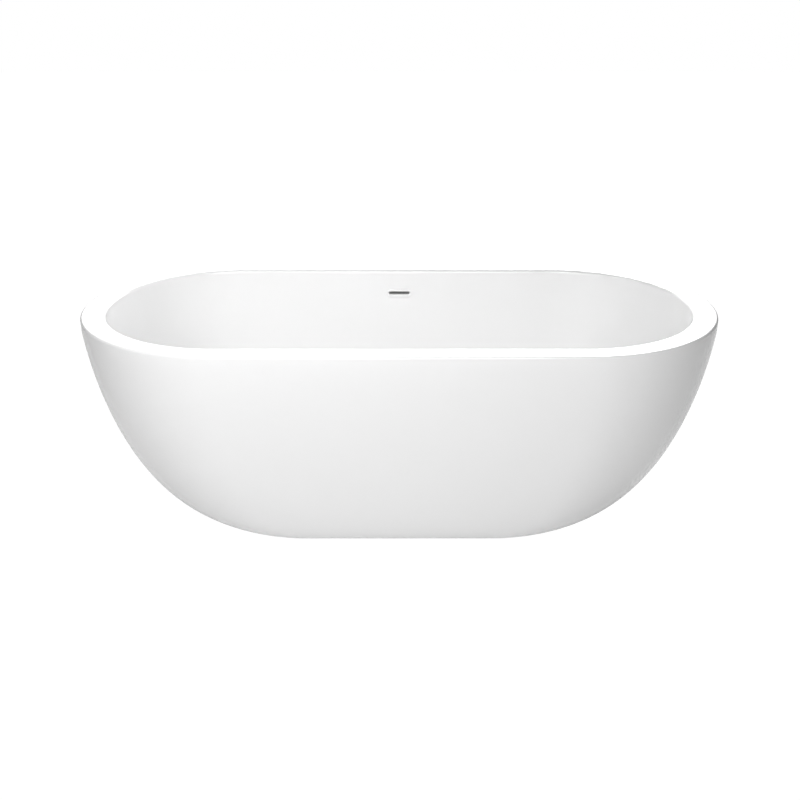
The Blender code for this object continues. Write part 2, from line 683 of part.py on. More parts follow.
def make_plug():
    """The pop-up plug with its seal and stem, and the cartridge that guides and springs it."""
    under = FLANGE_TOP + 5 * GAP
    cap_profile = (
        (PLUG_BOSS_RADIUS, under - PLUG_BOSS),
        (PLUG_BOSS_RADIUS, under),
        (PLUG_RADIUS - PLUG_EDGE / 2, under),
        (PLUG_RADIUS, under + PLUG_EDGE / 2),
        (PLUG_RADIUS - PLUG_EDGE / 2, under + PLUG_EDGE),
        (PLUG_RADIUS * 0.6, under + PLUG_EDGE + PLUG_CROWN * 0.7),
        (PLUG_RADIUS * 0.2, under + PLUG_EDGE + PLUG_CROWN),
    )
    turned("plug_cap", "chrome", cap_profile)
    seal_top = under - GAP
    seal_outer = WASTE_BORE + WASTE_SEAT_WIDTH - (FLANGE_TOP - seal_top + SEAL_THICKNESS) - 2 * GAP
    gasket("plug_seal", seal_top, SEAL_THICKNESS, seal_outer, PLUG_BOSS_RADIUS + GAP)
    collar_top = SPIDER_TOP + GAP + CARTRIDGE_COLLAR
    bottom = collar_top - CARTRIDGE_LENGTH
    inner = CARTRIDGE_RADIUS - CARTRIDGE_WALL
    guide = STEM_RADIUS + THREAD_GAP
    lid = collar_top - CARTRIDGE_LID
    cartridge_profile = (
        (inner, bottom + CARTRIDGE_WALL),
        (inner, lid),
        (guide, lid),
        (guide, collar_top),
        (CARTRIDGE_RADIUS + SPIDER_WALL / 2, collar_top),
        (CARTRIDGE_RADIUS + SPIDER_WALL / 2, SPIDER_TOP + GAP),
        (CARTRIDGE_RADIUS, SPIDER_TOP + GAP),
        (CARTRIDGE_RADIUS, bottom),
    )
    turned("plug_cartridge", "brass", cartridge_profile, steps=SMALL_STEPS)
    piston_top = lid - PLUG_TRAVEL - HOLE_GAP
    piston_bottom = piston_top - PISTON_HEIGHT
    stem_profile = (
        (PISTON_RADIUS, piston_bottom),
        (PISTON_RADIUS, piston_top),
        (STEM_RADIUS, piston_top),
        (STEM_RADIUS, under - PLUG_BOSS - GAP),
    )
    turned("plug_stem", "brass", stem_profile, steps=SMALL_STEPS)
    make_spring(bottom + CARTRIDGE_WALL + GAP, piston_bottom - GAP)


def make_spring(bottom, top):
    """The coil spring under the piston."""
    first, last = bottom + SPRING_WIRE_RADIUS, top - SPRING_WIRE_RADIUS
    steps = SPRING_TURNS * 10
    sides = 5
    rings = []
    for step in range(steps + 1):
        angle = 2 * pi * SPRING_TURNS * step / steps
        outwards = Vector((cos(angle), sin(angle), 0))
        centre = SPRING_RADIUS * outwards + Vector((0, 0, first + (last - first) * step / steps))
        turns = [2 * pi * k / sides for k in range(sides)]
        rings.append([centre + SPRING_WIRE_RADIUS * (cos(a) * outwards + Vector((0, 0, sin(a)))) for a in turns])
    return loft("plug_spring", "zinc", rings, capped=True, sharp=180)


# ---------------------------------------------------------------- overflow and hose


def make_overflow_seat():
    """An empty on the basin's back wall. Its +Y goes out through the wall and its +Z up along it."""
    height = HEIGHT - OVERFLOW_DROP
    t = curve_at_height(basin_curve, height)
    nearby = 0.01
    _, side_above, z_above = basin_curve(t - nearby)
    _, side_below, z_below = basin_curve(t + nearby)
    lean = atan2(side_below - side_above, z_above - z_below)
    seat = bpy.data.objects.new("overflow_seat", None)
    seat.location = (0, WIDTH / 2 - RIM_WIDTH - basin_curve(t)[1], height)
    seat.rotation_euler = (-lean, 0, 0)
    bpy.context.scene.collection.objects.link(seat)
    bpy.context.view_layer.update()
    return seat


SPIGOT_LENGTH = SLOT_LENGTH + 2 * SPIGOT_WALL
SPIGOT_HEIGHT = SLOT_HEIGHT + 2 * SPIGOT_WALL
HOUSING_FRONT = WALL + 2 * GAP + OVERFLOW_GASKET
HOUSING_DEPTH = 2 * HOSE_RADIUS + HOUSING_ROOM
HOUSING_BACK = HOUSING_FRONT + HOUSING_DEPTH
STUB_Y = HOUSING_BACK - HOUSING_WALL / 2 - HOSE_RADIUS
HOUSING_LENGTH = SPIGOT_LENGTH + 2 * (HOUSING_PLAY + HOUSING_WALL)
HOUSING_HEIGHT = SPIGOT_HEIGHT + 2 * HOUSING_REACH
STUB_END = -HOUSING_HEIGHT / 2 - STUB_LENGTH


def make_overflow_trim(seat):
    face = -GAP - TRIM_THICKNESS
    bevelled = TRIM_LENGTH - 2 * TRIM_BEVEL, TRIM_HEIGHT - 2 * TRIM_BEVEL
    rings = [
        slot_outline(TRIM_LENGTH, TRIM_HEIGHT, -GAP),
        slot_outline(TRIM_LENGTH, TRIM_HEIGHT, face + TRIM_BEVEL),
        slot_outline(*bevelled, face),
        slot_outline(SLOT_LENGTH, SLOT_HEIGHT, face, SLOT_RAISE),
        slot_outline(SLOT_LENGTH, SLOT_HEIGHT, SPIGOT_DEPTH, SLOT_RAISE),
        slot_outline(SPIGOT_LENGTH, SPIGOT_HEIGHT, SPIGOT_DEPTH, SLOT_RAISE),
        slot_outline(SPIGOT_LENGTH, SPIGOT_HEIGHT, -GAP, SLOT_RAISE),
    ]
    loft("overflow_trim", "acrylic", rings, closed=True).parent = seat


def make_overflow_housing(seat):
    """The box behind the wall that catches the overflow, its gasket and its downward outlet."""
    flange = HOUSING_LENGTH + 2 * HOUSING_FLANGE, HOUSING_HEIGHT + 2 * HOUSING_FLANGE
    inside = HOUSING_LENGTH - 2 * HOUSING_WALL, HOUSING_HEIGHT - 2 * HOUSING_WALL
    flange_back = HOUSING_FRONT + HOUSING_WALL
    rings = [
        slot_outline(*inside, HOUSING_BACK - HOUSING_WALL),
        slot_outline(*inside, HOUSING_FRONT),
        slot_outline(*flange, HOUSING_FRONT),
        slot_outline(*flange, flange_back),
        slot_outline(HOUSING_LENGTH, HOUSING_HEIGHT, flange_back),
        slot_outline(HOUSING_LENGTH, HOUSING_HEIGHT, HOUSING_BACK),
    ]
    housing = loft("overflow_housing", "pipe_plastic", rings, capped=True)
    housing.parent = seat
    low = -HOUSING_HEIGHT / 2
    inner_radius = HOSE_RADIUS - HOSE_WALL
    for name, radius, top, bottom, operation in (
        ("overflow_outlet", HOSE_RADIUS, low + HOUSING_WALL * 0.8, STUB_END, "UNION"),
        ("overflow_outlet_bore", inner_radius, low + 2 * HOUSING_WALL, STUB_END - CUT_OVERRUN, "DIFFERENCE"),
    ):
        shape = turned(name, "pipe_plastic", ((radius, bottom), (radius, top)), steps=TURNED_STEPS)
        shape.parent = seat
        shape.location = (0, STUB_Y, 0)
        combine(housing, shape, operation)
    front, back = WALL + GAP, WALL + GAP + OVERFLOW_GASKET
    gasket_rings = [
        slot_outline(*flange, front),
        slot_outline(*flange, back),
        slot_outline(*inside, back),
        slot_outline(*inside, front),
    ]
    loft("overflow_gasket", "rubber", gasket_rings, closed=True).parent = seat


def hose_frame(points, index):
    """A point of the hose's line and the direction square to it in the plane of the hose."""
    before = points[max(index - 1, 0)]
    after = points[min(index + 1, len(points) - 1)]
    along = (after - before).normalized()
    return points[index], Vector((0, -along.z, along.y))


def hose_ring(centre, square, radius, steps):
    """A circle across the hose. The hose lies in the YZ plane, so one of its directions is X."""
    across = Vector((1, 0, 0))
    angles = [2 * pi * k / steps for k in range(steps)]
    return [centre + radius * (cos(a) * across + sin(a) * square) for a in angles]


def make_hose(seat):
    """The overflow hose down between the two walls, and the union nut at each end."""
    start = seat.matrix_world @ Vector((0, STUB_Y, STUB_END - GAP))
    down = (seat.matrix_world.to_3x3() @ Vector((0, 0, -1))).normalized()
    end = Vector((0, SHOE_RADIUS + SHOE_STUB_LENGTH + GAP, HOSE_Z))
    drop = start.z - end.z
    run = start.y - end.y
    first = start + down * UNION_LENGTH
    last = end + Vector((0, UNION_LENGTH, 0))
    controls = (first, start + down * drop * 0.95, end + Vector((0, run * 0.80, -HOSE_RADIUS)), last)
    steps = 16
    points = [start]
    points += [Vector(bezier([c[axis] for c in controls], k / steps) for axis in range(3)) for k in range(steps + 1)]
    points.append(end)
    frames = [hose_frame(points, k) for k in range(len(points))]
    frames[1] = (first, frames[0][1])
    frames[-2] = (last, frames[-1][1])
    outer = [hose_ring(*frame, HOSE_RADIUS, SMALL_STEPS) for frame in frames]
    inner = [hose_ring(*frame, HOSE_RADIUS - HOSE_WALL, SMALL_STEPS) for frame in reversed(frames)]
    loft("overflow_hose", "hose_plastic", outer + inner, closed=True, sharp=60)
    bore, outside = HOSE_RADIUS + GAP, HOSE_RADIUS + GAP + UNION_WALL
    joints = (("top", start, down, frames[0][1]), ("bottom", end, Vector((0, -1, 0)), frames[-1][1]))
    for place, centre, along, square in joints:
        ends = [centre - along * UNION_LENGTH * 0.6, centre + along * UNION_LENGTH * 0.4]
        rings = [hose_ring(point, square, outside, TURNED_STEPS) for point in ends]
        rings += [hose_ring(point, square, bore, TURNED_STEPS) for point in reversed(ends)]
        loft(f"hose_union_{place}", "pipe_plastic", rings, closed=True)


def clear_scene():
    for made in list(bpy.data.objects):
        bpy.data.objects.remove(made)


def main():
    clear_scene()
    seat = make_overflow_seat()
    make_outer_shell()
    make_basin(seat)
    make_bond_strip()
    make_base_board()
    make_frame()
    make_frame_screws()
    for number, (x, y) in enumerate(foot_places(), 1):
        make_foot(number, x, y)
    make_waste_flange()
    gasket("waste_gasket_top", RECESS_Z + GAP + TOP_GASKET, TOP_GASKET, WASTE_FLANGE_RADIUS, WASTE_HOLE_RADIUS)
    gasket("waste_gasket_bottom", RECESS_Z - WALL - GAP, BOTTOM_GASKET, WASTE_FLANGE_RADIUS, WASTE_HOLE_RADIUS)
    make_waste_shoe()
    make_tailpiece()
    make_plug()
    make_overflow_trim(seat)
    make_overflow_housing(seat)
    make_hose(seat)


main()
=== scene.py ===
"""Finished look of a freestanding double-walled bathtub, laid out as a Blender add-on.

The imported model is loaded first, as a fixed frame. Each operator then builds one group of like pieces,
every one of which takes the place of the CAD node with its name. Lengths are in metres.
"""

import json
from math import atan2, cos, floor, pi, radians, sin

import bmesh
import bpy
from bpy.props import FloatProperty, FloatVectorProperty, PointerProperty
from mathutils import Matrix, Vector


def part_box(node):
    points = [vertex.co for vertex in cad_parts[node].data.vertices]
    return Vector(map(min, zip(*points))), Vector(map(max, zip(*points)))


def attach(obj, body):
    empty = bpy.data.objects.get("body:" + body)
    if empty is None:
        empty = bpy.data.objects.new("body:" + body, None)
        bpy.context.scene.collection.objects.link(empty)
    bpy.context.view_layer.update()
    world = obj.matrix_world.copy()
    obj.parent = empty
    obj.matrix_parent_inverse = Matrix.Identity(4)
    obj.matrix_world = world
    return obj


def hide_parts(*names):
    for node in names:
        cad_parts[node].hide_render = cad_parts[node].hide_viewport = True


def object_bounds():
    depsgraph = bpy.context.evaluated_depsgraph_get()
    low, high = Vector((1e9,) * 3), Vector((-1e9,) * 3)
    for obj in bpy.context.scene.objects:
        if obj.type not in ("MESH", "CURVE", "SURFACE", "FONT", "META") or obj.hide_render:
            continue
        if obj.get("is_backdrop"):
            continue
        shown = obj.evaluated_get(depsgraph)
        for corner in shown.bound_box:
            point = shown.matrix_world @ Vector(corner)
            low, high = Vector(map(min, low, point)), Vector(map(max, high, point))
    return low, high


bl_info = {
    "name": "Freestanding Bathtub",
    "version": (1, 0, 0),
    "blender": (4, 5, 0),
    "location": "3D View > Sidebar > Bathtub",
    "description": "Builds the finished pieces of a freestanding bathtub round its packed frame",
    "category": "Add Mesh",
}

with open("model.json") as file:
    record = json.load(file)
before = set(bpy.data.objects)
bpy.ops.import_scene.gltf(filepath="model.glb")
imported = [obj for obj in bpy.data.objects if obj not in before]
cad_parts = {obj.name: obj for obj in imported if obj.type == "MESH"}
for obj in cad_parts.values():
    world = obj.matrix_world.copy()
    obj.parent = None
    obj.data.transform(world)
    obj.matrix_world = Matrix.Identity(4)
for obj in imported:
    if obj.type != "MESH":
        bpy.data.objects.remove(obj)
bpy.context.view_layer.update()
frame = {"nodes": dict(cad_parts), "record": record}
RECORD = frame["record"]
BODY_OF = {node: body for body, nodes in RECORD["behaviour"]["bodies"].items() for node in nodes}

CAP_STEPS = 64  # points round each end of a stadium outline
SIDE_STEPS = 20  # points along each straight side
OUTLINE_POINTS = 2 * (CAP_STEPS + SIDE_STEPS)
TURNED_STEPS = 64
SMALL_STEPS = 32
SHARP = 30.0  # degrees; an edge that bends more than this is drawn sharp
FEET = 5
SCREWS = 8


# ---------------------------------------------------------------- sizes, finishes and studio


def length(name, description, default):
    """A size that a user can change."""
    return FloatProperty(
        name=name, description=description, default=default, min=0.0, unit="LENGTH", precision=4
    )


def colour(name, description, default):
    return FloatVectorProperty(
        name=name, description=description, default=default, size=3, min=0.0, max=1.0, subtype="COLOR"
    )


def share(name, description, default):
    return FloatProperty(
        name=name, description=description, default=default, min=0.0, max=1.0, subtype="FACTOR"
    )


def power(name, description, default):
    return FloatProperty(name=name, description=description, default=default, min=0.0, unit="POWER")


RIM_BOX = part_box("basin")


class TubShellSizes(bpy.types.PropertyGroup):
    """The basin and the skirt."""

    length: length("Length", "Overall length of the rim", RIM_BOX[1][0] - RIM_BOX[0][0])
    width: length("Width", "Overall width of the rim", RIM_BOX[1][1] - RIM_BOX[0][1])
    height: length("Height", "From the ground to the top of the rim", RIM_BOX[1][2])
    floor_height: length("Floor height", "From the ground to the edge of the basin's floor", 0.150)
    wall: length("Wall", "Thickness of the basin and the skirt", 0.006)
    rim_width: length("Rim width", "Width of the flat rim", 0.065)
    rim_lip: length("Rim lip", "How far the rim turns down over the skirt", 0.014)
    rim_seam: length("Rim seam", "Hairline between the rim's lip and the skirt", 0.00005)
    rim_outer_radius: length("Outer rim radius", "Rounding of the rim's outer edge", 0.006)
    rim_inner_radius: length("Inner rim radius", "Rounding of the rim's inner edge", 0.010)
    skirt_clearance: length("Skirt clearance", "Gap under the skirt", 0.005)
    skirt_land: length("Skirt land", "Upright band at the skirt's top", 0.010)
    skirt_shoulder: length("Skirt shoulder", "How far down the skirt starts to lean in", 0.055)
    skirt_end_tuck: length("End tuck", "How far each end comes in at the ground", 0.390)
    skirt_end_belly: length("End belly", "Where each end's curve bends", 0.053)
    skirt_side_tuck: length("Side tuck", "How far each side comes in at the ground", 0.147)
    skirt_side_belly: length("Side belly", "Where each side's curve bends", 0.060)
    skirt_flange: length("Skirt flange", "Width of the skirt's turned-in foot", 0.030)
    basin_shoulder: length("Basin shoulder", "How far down the basin starts to lean in", 0.170)
    basin_end_slope: length("Basin end slope", "Lean of each end of the basin", 0.030)
    basin_end_belly: length("Basin end belly", "Where the end's curve bends", 0.100)
    basin_end_sweep: length("Basin end sweep", "How far each end sweeps into the floor", 0.300)
    basin_side_slope: length("Basin side slope", "Lean of each side of the basin", 0.018)
    basin_side_belly: length("Basin side belly", "Where the side's curve bends", 0.045)
    basin_side_sweep: length("Basin side sweep", "How far each side sweeps into the floor", 0.155)
    floor_fall: length("Floor fall", "From the floor's edge to the waste", 0.003)


class TubFittingSizes(bpy.types.PropertyGroup):
    """The waste, the overflow, the frame and the feet."""

    recess_radius: length("Recess radius", "Radius of the sink round the waste", 0.038)
    recess_depth: length("Recess depth", "Depth of the sink round the waste", 0.0035)
    waste_hole_radius: length("Waste hole radius", "Hole in the basin's floor", 0.024)
    overflow_drop: length("Overflow drop", "From the rim's top to the middle of the slot", 0.070)
    trim_length: length("Trim length", "Length of the overflow's trim", 0.074)
    trim_height: length("Trim height", "Height of the overflow's trim", 0.024)
    slot_length: length("Slot length", "Length of the overflow slot", 0.062)
    slot_height: length("Slot height", "Height of the overflow slot", 0.009)
    slot_raise: length("Slot raise", "How far the slot sits above the trim's middle", 0.002)
    hose_radius: length("Hose radius", "Outer radius of the overflow hose", 0.014)
    hose_pitch: length("Hose pitch", "Distance from one corrugation to the next", 0.0055)
    thread_pitch: length("Thread pitch", "Pitch of the levelling studs' thread", 0.00175)
    tube_corner: length("Tube corner", "Outer corner radius of the frame's tube", 0.003)


class TubFinish(bpy.types.PropertyGroup):
    """Colours and gloss."""

    acrylic: colour("Acrylic", "Colour of the basin and the skirt", (0.92, 0.92, 0.92))
    acrylic_roughness: share("Acrylic roughness", "Roughness of the basin and the skirt", 0.20)
    laminate: colour("Laminate", "Colour of the raw backs", (0.74, 0.70, 0.58))
    steel: colour("Frame steel", "Colour of the galvanised tube", (0.52, 0.54, 0.56))
    zinc: colour("Zinc", "Colour of the studs, nuts and screws", (0.70, 0.71, 0.72))
    chrome: colour("Chrome", "Colour of the plated fittings", (0.80, 0.81, 0.83))
    brass: colour("Brass", "Colour of the turned brass", (0.78, 0.57, 0.27))
    pipe_plastic: colour("Pipe plastic", "Colour of the moulded waste fittings", (0.90, 0.90, 0.89))
    hose_plastic: colour("Hose plastic", "Colour of the corrugated hose", (0.55, 0.56, 0.57))
    plywood: colour("Plywood", "Colour of the base board's face", (0.66, 0.47, 0.28))


class TubStudio(bpy.types.PropertyGroup):
    """Camera and light."""

    distance: length("Distance", "From the middle of the rim to the camera", 2.822)
    elevation: FloatProperty(
        name="Elevation",
        description="Camera's height above the rim's level",
        default=radians(17.93),
        subtype="ANGLE",
    )
    pitch: FloatProperty(
        name="Pitch", description="How far the camera looks down", default=radians(23.17), subtype="ANGLE"
    )
    lens: FloatProperty(name="Lens", description="Focal length in millimetres", default=46.65, min=1.0)
    shift: FloatProperty(name="Shift", description="Sideways shift of the frame", default=0.0009)
    sky: FloatProperty(name="Sky", description="Strength of the light from all round", default=0.10, min=0.0)
    key: power("Key light", "Large soft light, high in front", 47.0)
    over: power("Over light", "Near soft light above the left half", 3.8)
    side: power("Side light", "Near soft light from the left", 1.5)
    front: power("Front light", "Near soft light in front, to the left", 8.5)
    back: power("Back light", "Wide soft light on the far side, which the rim mirrors", 70.0)
    back_left: power("Back left light", "Soft light on the far side, to the left", 9.0)
    back_right: power("Back right light", "Soft light on the far side, to the right", 27.0)


# ---------------------------------------------------------------- outlines and curves


def bezier(controls, t):
    """A point, or one coordinate, of a cubic curve at t."""
    p0, p1, p2, p3 = controls
    return (1 - t) ** 3 * p0 + 3 * (1 - t) ** 2 * t * p1 + 3 * (1 - t) * t * t * p2 + t**3 * p3


def stadium(half_length, half_width, z):
    """A level outline with straight sides and half-round ends, anticlockwise from above."""
    straight = half_length - half_width
    points = []
    for side in (1, -1):
        for step in range(CAP_STEPS + 1):
            angle = -pi / 2 + pi * step / CAP_STEPS
            x = side * (straight + half_width * cos(angle))
            points.append(Vector((x, side * half_width * sin(angle), z)))
        for step in range(1, SIDE_STEPS):
            x = side * straight * (1 - 2 * step / SIDE_STEPS)
            points.append(Vector((x, side * half_width, z)))
    return points


def waste_circle(radius, z):
    """A circle whose points pair with those of a stadium outline."""
    first = SIDE_STEPS / 2 * 2 * pi / OUTLINE_POINTS - pi / 2
    angles = (first + 2 * pi * k / OUTLINE_POINTS for k in range(OUTLINE_POINTS))
    return [Vector((radius * cos(a), radius * sin(a), z)) for a in angles]


def circle(radius, z, steps=TURNED_STEPS):
    return [
        Vector((radius * cos(2 * pi * k / steps), radius * sin(2 * pi * k / steps), z)) for k in range(steps)
    ]


def polygon(across_flats, sides, z, steps, most=None):
    """A regular polygon's outline with extra points along its sides. Its corners can be cut at a radius."""
    points = []
    for k in range(steps):
        angle = 2 * pi * k / steps
        past_flat = (angle % (2 * pi / sides)) - pi / sides
        radius = across_flats / 2 / cos(past_flat)
        if most is not None:
            radius = min(radius, most)
        points.append(Vector((radius * cos(angle), radius * sin(angle), z)))
    return points


def slot_outline(slot_length, slot_height, y, raised=0.0, steps=SMALL_STEPS):
    """An upright outline with half-round ends, in the XZ plane."""
    radius = slot_height / 2
    points = []
    for side in (1, -1):
        for step in range(steps // 2 + 1):
            angle = -pi / 2 + 2 * pi * step / steps
            x = side * (slot_length / 2 - radius + radius * cos(angle))
            points.append(Vector((x, y, raised + side * radius * sin(angle))))
    return points


def rounded_profile(corners, radius, steps=3):
    """A closed (radius, height) profile with each corner rounded, or left sharp where its radius is 0."""
    points = []
    count = len(corners)
    for k, corner in enumerate(corners):
        before, after = Vector(corners[k - 1][:2]), Vector(corners[(k + 1) % count][:2])
        here = Vector(corner[:2])
        own = corner[2] if len(corner) > 2 else radius
        reach = min(own, (before - here).length * 0.45, (after - here).length * 0.45)
        if reach <= 0:
            points.append(tuple(here))
            continue
        start, end = here + (before - here).normalized() * reach, here + (after - here).normalized() * reach
        for step in range(steps + 1):
            t = step / steps
            points.append(tuple((1 - t) ** 2 * start + 2 * t * (1 - t) * here + t * t * end))
    return points


def skirt_curve(sizes, t):
    """(set in from the end, set in from the side, height) on the skirt's outer face, top to bottom."""
    top = sizes.height - sizes.rim_lip - sizes.skirt_land
    heights = (top, sizes.height - sizes.skirt_shoulder, 0.0, sizes.skirt_clearance)
    end = bezier((0.0, 0.0, sizes.skirt_end_belly, sizes.skirt_end_tuck), t)
    side = bezier((0.0, 0.0, sizes.skirt_side_belly, sizes.skirt_side_tuck), t)
    return end, side, max(bezier(heights, t), sizes.skirt_clearance)


def basin_curve(sizes, t):
    """The same for the basin's inner face, from the rim's inner edge down to the floor."""
    top = sizes.height - sizes.rim_inner_radius
    heights = (top, top - sizes.basin_shoulder, sizes.floor_height, sizes.floor_height)
    end = bezier((0.0, sizes.basin_end_slope, sizes.basin_end_belly, sizes.basin_end_sweep), t)
    side = bezier((0.0, sizes.basin_side_slope, sizes.basin_side_belly, sizes.basin_side_sweep), t)
    return end, side, bezier(heights, t)


def overflow_seat(sizes, fittings):
    """Where the overflow sits on the back wall. Its +Y goes out through the wall and its +Z up along it."""
    height = sizes.height - fittings.overflow_drop
    low, high = 0.0, 1.0
    for _ in range(40):
        t = (low + high) / 2
        if basin_curve(sizes, t)[2] > height:
            low = t
        else:
            high = t
    nearby = 0.01
    _, side_above, z_above = basin_curve(sizes, t - nearby)
    _, side_below, z_below = basin_curve(sizes, t + nearby)
    lean = atan2(side_below - side_above, z_above - z_below)
    y = sizes.width / 2 - sizes.rim_width - basin_curve(sizes, t)[1]
    return Matrix.Translation((0, y, height)) @ Matrix.Rotation(-lean, 4, "X")


# ---------------------------------------------------------------- making pieces


def mesh_piece(name, finishes, build, sharp=SHARP):
    """An object from a bmesh, smooth but for its sharp edges, with its materials."""
    mesh = bpy.data.meshes.new(name)
    bmesh.ops.recalc_face_normals(build, faces=build.faces)
    build.to_mesh(mesh)
    build.free()
    mesh.shade_smooth()
    mesh.set_sharp_from_angle(angle=radians(sharp))
    for finish in finishes:
        mesh.materials.append(material(finish))
    piece = bpy.data.objects.new(name, mesh)
    bpy.context.scene.collection.objects.link(piece)
    return piece


def skin_rings(build, rings, closed=False, capped=False):
    """Joins each ring of points to the next, in a bmesh. A closed skin joins the last to the first."""
    rows = [[build.verts.new(point) for point in ring] for ring in rings]
    count = len(rings[0])
    pairs = list(zip(rows, rows[1:])) + ([(rows[-1], rows[0])] if closed else [])
    for row, following in pairs:
        for k in range(count):
            ahead = (k + 1) % count
            build.faces.new((row[k], row[ahead], following[ahead], following[k]))
    if capped:
        build.faces.new(rows[0][::-1])
        build.faces.new(rows[-1])
    return rows


def loft(name, finishes, rings, closed=False, capped=False, sharp=SHARP):
    build = bmesh.new()
    skin_rings(build, rings, closed, capped)
    return mesh_piece(name, finishes, build, sharp)


def open_sheet(name, finishes, rings, sharp=SHARP):
    """A loft whose faces keep the winding of its rings, so that Solidify thickens the right side."""
    build = bmesh.new()
    skin_rings(build, rings)
    mesh = bpy.data.meshes.new(name)
    build.to_mesh(mesh)
    build.free()
    mesh.shade_smooth()
    mesh.set_sharp_from_angle(angle=radians(sharp))
    for finish in finishes:
        mesh.materials.append(material(finish))
    piece = bpy.data.objects.new(name, mesh)
    bpy.context.scene.collection.objects.link(piece)
    return piece


def turned(name, finish, profile, hollow=False, steps=TURNED_STEPS, sharp=SHARP):
    """A piece turned about Z from (radius, height) points. A hollow one's profile goes round its wall."""
    rings = [circle(radius, z, steps) for radius, z in profile]
    return loft(name, [finish], rings, closed=hollow, capped=not hollow, sharp=sharp)


def apply_modifiers(piece):
    """Makes the modified mesh the piece's own, with the edges that the modifiers cut marked sharp too."""
    made = bpy.data.meshes.new_from_object(piece.evaluated_get(bpy.context.evaluated_depsgraph_get()))
    made.name = piece.name
    made.set_sharp_from_angle(angle=radians(SHARP))
    piece.modifiers.clear()
    piece.data = made
    return piece


def combine(target, other, operation):
    """Joins another shape to the target, or cuts it out, and then removes the other."""
    modifier = target.modifiers.new(operation.lower(), "BOOLEAN")
    modifier.operation = operation
    modifier.solver = "EXACT"
    modifier.object = other
    bpy.context.view_layer.update()
    apply_modifiers(target)
    bpy.data.objects.remove(other)
    return target


def stand_in(piece, node=None, body=None):
    """The piece takes a CAD node's place: it moves with the node's body, and the node is hidden."""
    node = node or piece.name
    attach(piece, body or BODY_OF[node])
    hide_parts(node)
    return piece


def take_name(piece, node):
    """Leaves a node's own name to the CAD object and gives the piece a maker's name."""
    piece.name = f"{node}_finished"
    piece.data.name = piece.name
    return stand_in(piece, node)


# ---------------------------------------------------------------- shader groups


class Wiring:
    """Adds nodes to a node tree, left to right, and links them."""

    def __init__(self, tree):
        self.tree = tree

    def add(self, kind, inputs=None, **settings):
        """A node. Each input is another node's socket, or a plain value."""
        made = self.tree.nodes.new("ShaderNode" + kind)
        made.location = (200 * len(self.tree.nodes), 0)
        for name, value in settings.items():
            setattr(made, name, value)
        for name, value in (inputs or {}).items():
            self.put(made.inputs[name], value)
        return made

    def put(self, socket, value):
        if isinstance(value, bpy.types.NodeSocket):
            self.tree.links.new(value, socket)
        else:
            socket.default_value = value

    def math(self, operation, first, second=0.0, third=0.0):
        made = self.add("Math", operation=operation)
        for socket, value in zip(made.inputs, (first, second, third)):
            self.put(socket, value)
        return made.outputs[0]

    def mix(self, share_of_second, first, second, blend="MIX"):
        """A blend of two colours."""
        made = self.add("Mix", data_type="RGBA", blend_type=blend)
        for index, value in ((0, share_of_second), (6, first), (7, second)):
            self.put(made.inputs[index], value)
        return made.outputs[2]

    def spread(self, value, low, high, to_low=0.0, to_high=1.0):
        """A value carried from one range to another, smoothly and held at the ends."""
        made = self.add("MapRange", interpolation_type="SMOOTHSTEP")
        for name, number in (("Value", value), ("From Min", low), ("From Max", high), ("To Min", to_low)):
            self.put(made.inputs[name], number)
        self.put(made.inputs["To Max"], to_high)
        return made.outputs["Result"]

    def noise(self, scale, detail=2.0, vector=None, distortion=0.0):
        inputs = {"Scale": scale, "Detail": detail, "Distortion": distortion}
        if vector is not None:
            inputs["Vector"] = vector
        else:
            inputs["Vector"] = self.add("TexCoord").outputs["Object"]
        return self.add("TexNoise", inputs).outputs["Fac"]

    def stretched(self, scales, turn=(0.0, 0.0, 0.0)):
        """Object coordinates turned and stretched, for grain and strands."""
        inputs = {"Vector": self.add("TexCoord").outputs["Object"], "Rotation": turn, "Scale": scales}
        return self.add("Mapping", inputs).outputs["Vector"]

    def group(self, make, **inputs):
        """One of the shared effects, placed with this material's own values."""
        made = self.add("Group")
        made.node_tree = make()
        for name, value in inputs.items():
            self.put(made.inputs[name.replace("_", " ")], value)
        return made.outputs

    def bump(self, height, strength, distance):
        inputs = {"Height": height, "Strength": strength, "Distance": distance}
        return self.add("Bump", inputs).outputs["Normal"]


def shared_group(name, inputs, outputs, fill):
    """A node group, built the first time that it is asked for."""
    tree = bpy.data.node_groups.get(name)
    if tree is not None:
        return tree
    tree = bpy.data.node_groups.new(name, "ShaderNodeTree")
    for label, kind, default in inputs:
        socket = tree.interface.new_socket(label, in_out="INPUT", socket_type="NodeSocket" + kind)
        socket.default_value = default
    for label, kind in outputs:
        tree.interface.new_socket(label, in_out="OUTPUT", socket_type="NodeSocket" + kind)
    wiring = Wiring(tree)
    given = tree.nodes.new("NodeGroupInput")
    results = fill(wiring, given.outputs)
    end = tree.nodes.new("NodeGroupOutput")
    end.location = (200 * len(tree.nodes), 0)
    for label, value in results.items():
        tree.links.new(value, end.inputs[label])
    return tree


def moulded_ripple():
    """Slow waviness with a fine grain on it, as on a moulded or sprayed surface."""

    def fill(wiring, given):
        slow = wiring.noise(given["Scale"], 1.0)
        fine = wiring.noise(wiring.math("MULTIPLY", given["Scale"], 14.0), 3.0)
        return {"Height": wiring.math("ADD", slow, wiring.math("MULTIPLY", fine, given["Grain"]))}

    inputs = (("Scale", "Float", 6.0), ("Grain", "Float", 0.1))
    return shared_group("moulded_ripple", inputs, (("Height", "Float"),), fill)


